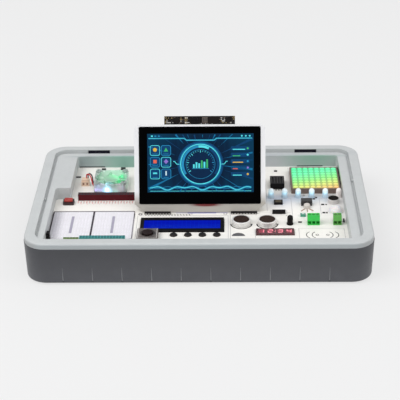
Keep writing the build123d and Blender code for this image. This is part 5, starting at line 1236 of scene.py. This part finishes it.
# %% Crowd the camera board
STRIP_HALF, STEP = 30.7, 1.35
FRONT, BACK = 1.6, 0.6
SENSOR_AT = (6.6, 74.0)
CHIP, TAN, CERAMIC, GOLD, PRINT = range(5)
KINDS = [CHIP, CHIP, CHIP, TAN, CERAMIC, CERAMIC, GOLD]
strip = Work()
random.seed(5)
for side, face in ((1, FRONT), (-1, BACK)):
    for i in range(int(2 * STRIP_HALF / STEP)):
        for j in range(6):
            x, v = 1.0 - STRIP_HALF + i * STEP, 68.4 + (j + 0.5) * STEP
            taken = side > 0 and (-8.2 < x < 12.6 or v < 70.6)
            hidden = side < 0 and v < 71.0
            if taken or hidden or random.random() > 0.74:
                continue
            length, depth = random.choice([(1.2, 0.6), (0.6, 1.1), (0.9, 0.9), (1.2, 1.1)])
            height = random.choice([0.3, 0.45, 0.6])
            base = face if side > 0 else face - height
            strip.block(x, v, base, (length, depth, height), random.choice(KINDS), 0.05)
strip.block(*SENSOR_AT, FRONT, (8.8, 4.6, 0.5), CHIP, 0.05)
strip.stroke(rectangle(*SENSOR_AT, 8.2, 4.0), 0.35, FRONT + 0.53, PRINT, closed=True)
for k in range(4):
    strip.stroke([(3.4, 72.7 + 0.9 * k), (9.8 - 0.5 * k, 72.7 + 0.9 * k)], 0.25, FRONT + 0.53, PRINT)
for k in range(11):
    strip.block(-8.0 + 1.9 * k, 70.9, FRONT, (0.8, 0.6, 0.3), CERAMIC if k % 3 else PRINT, 0.05)
for k in range(10):
    strip.circle(-12.4 + (k % 2) * 1.3, 71.2 + (k // 2) * 1.25, 0.35, 0.35, FRONT + 0.04, GOLD)
for x in (-29.6, 29.6):
    strip.circle(x, 76.2, 0.75, 0.4, FRONT + 0.04, GOLD, 12)
camera_parts = [
    chip_black,
    moulded("part_tan", (0.16, 0.11, 0.075), 0.45, grain=0.1, depth=0.004),
    moulded("part_pale", (0.62, 0.60, 0.57), 0.45, grain=0.1, depth=0.004),
    metal("gold_pads", (0.42, 0.32, 0.16), 0.4),
    moulded("print_tan", (0.20, 0.15, 0.12), 0.5, grain=0.1, depth=0.004),
]
strip.piece("camera_parts", camera_parts, "screen", place=HINGE)

# %% [markdown]
# ## Last touches
#
# A lens needs its dark glass, and the pale body of the microphone its black felt disc. Both are small discs
# with a soft edge, set on the mouths that the solids already have.

# %% Set the lens glass and the felt
eye = Work()
eye.plate(ring(-3.6, 73.8, 1.25, 20), 3.9, 4.2, 0, 0.15)
lens_glass, tree, shader = bare_finish("lens_glass", (0.004, 0.004, 0.010), 0.03, Coat_Weight=1.0)
cloudy(tree, shader, 2, (0.003, 0.003, 0.008), (0.012, 0.006, 0.020))
eye.piece("camera_glass", [lens_glass], "screen", place=HINGE)
felt = Work()
felt.plate(ring(117.2, 4.4, 4.6, 24), 28.9, 29.05, 0, 0.05)
felt_black = moulded("felt_black", (0.010, 0.008, 0.007), 0.95, 0.35, 0.12, Specular_IOR_Level=0.1)
felt.piece("microphone_felt", [felt_black], "kit")

# %% [markdown]
# The last step looks for solids that still have their plain colour.

# %% Check and finish
left_over = sorted(set(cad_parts) - dressed)
print("nodes without a finish:", left_over)
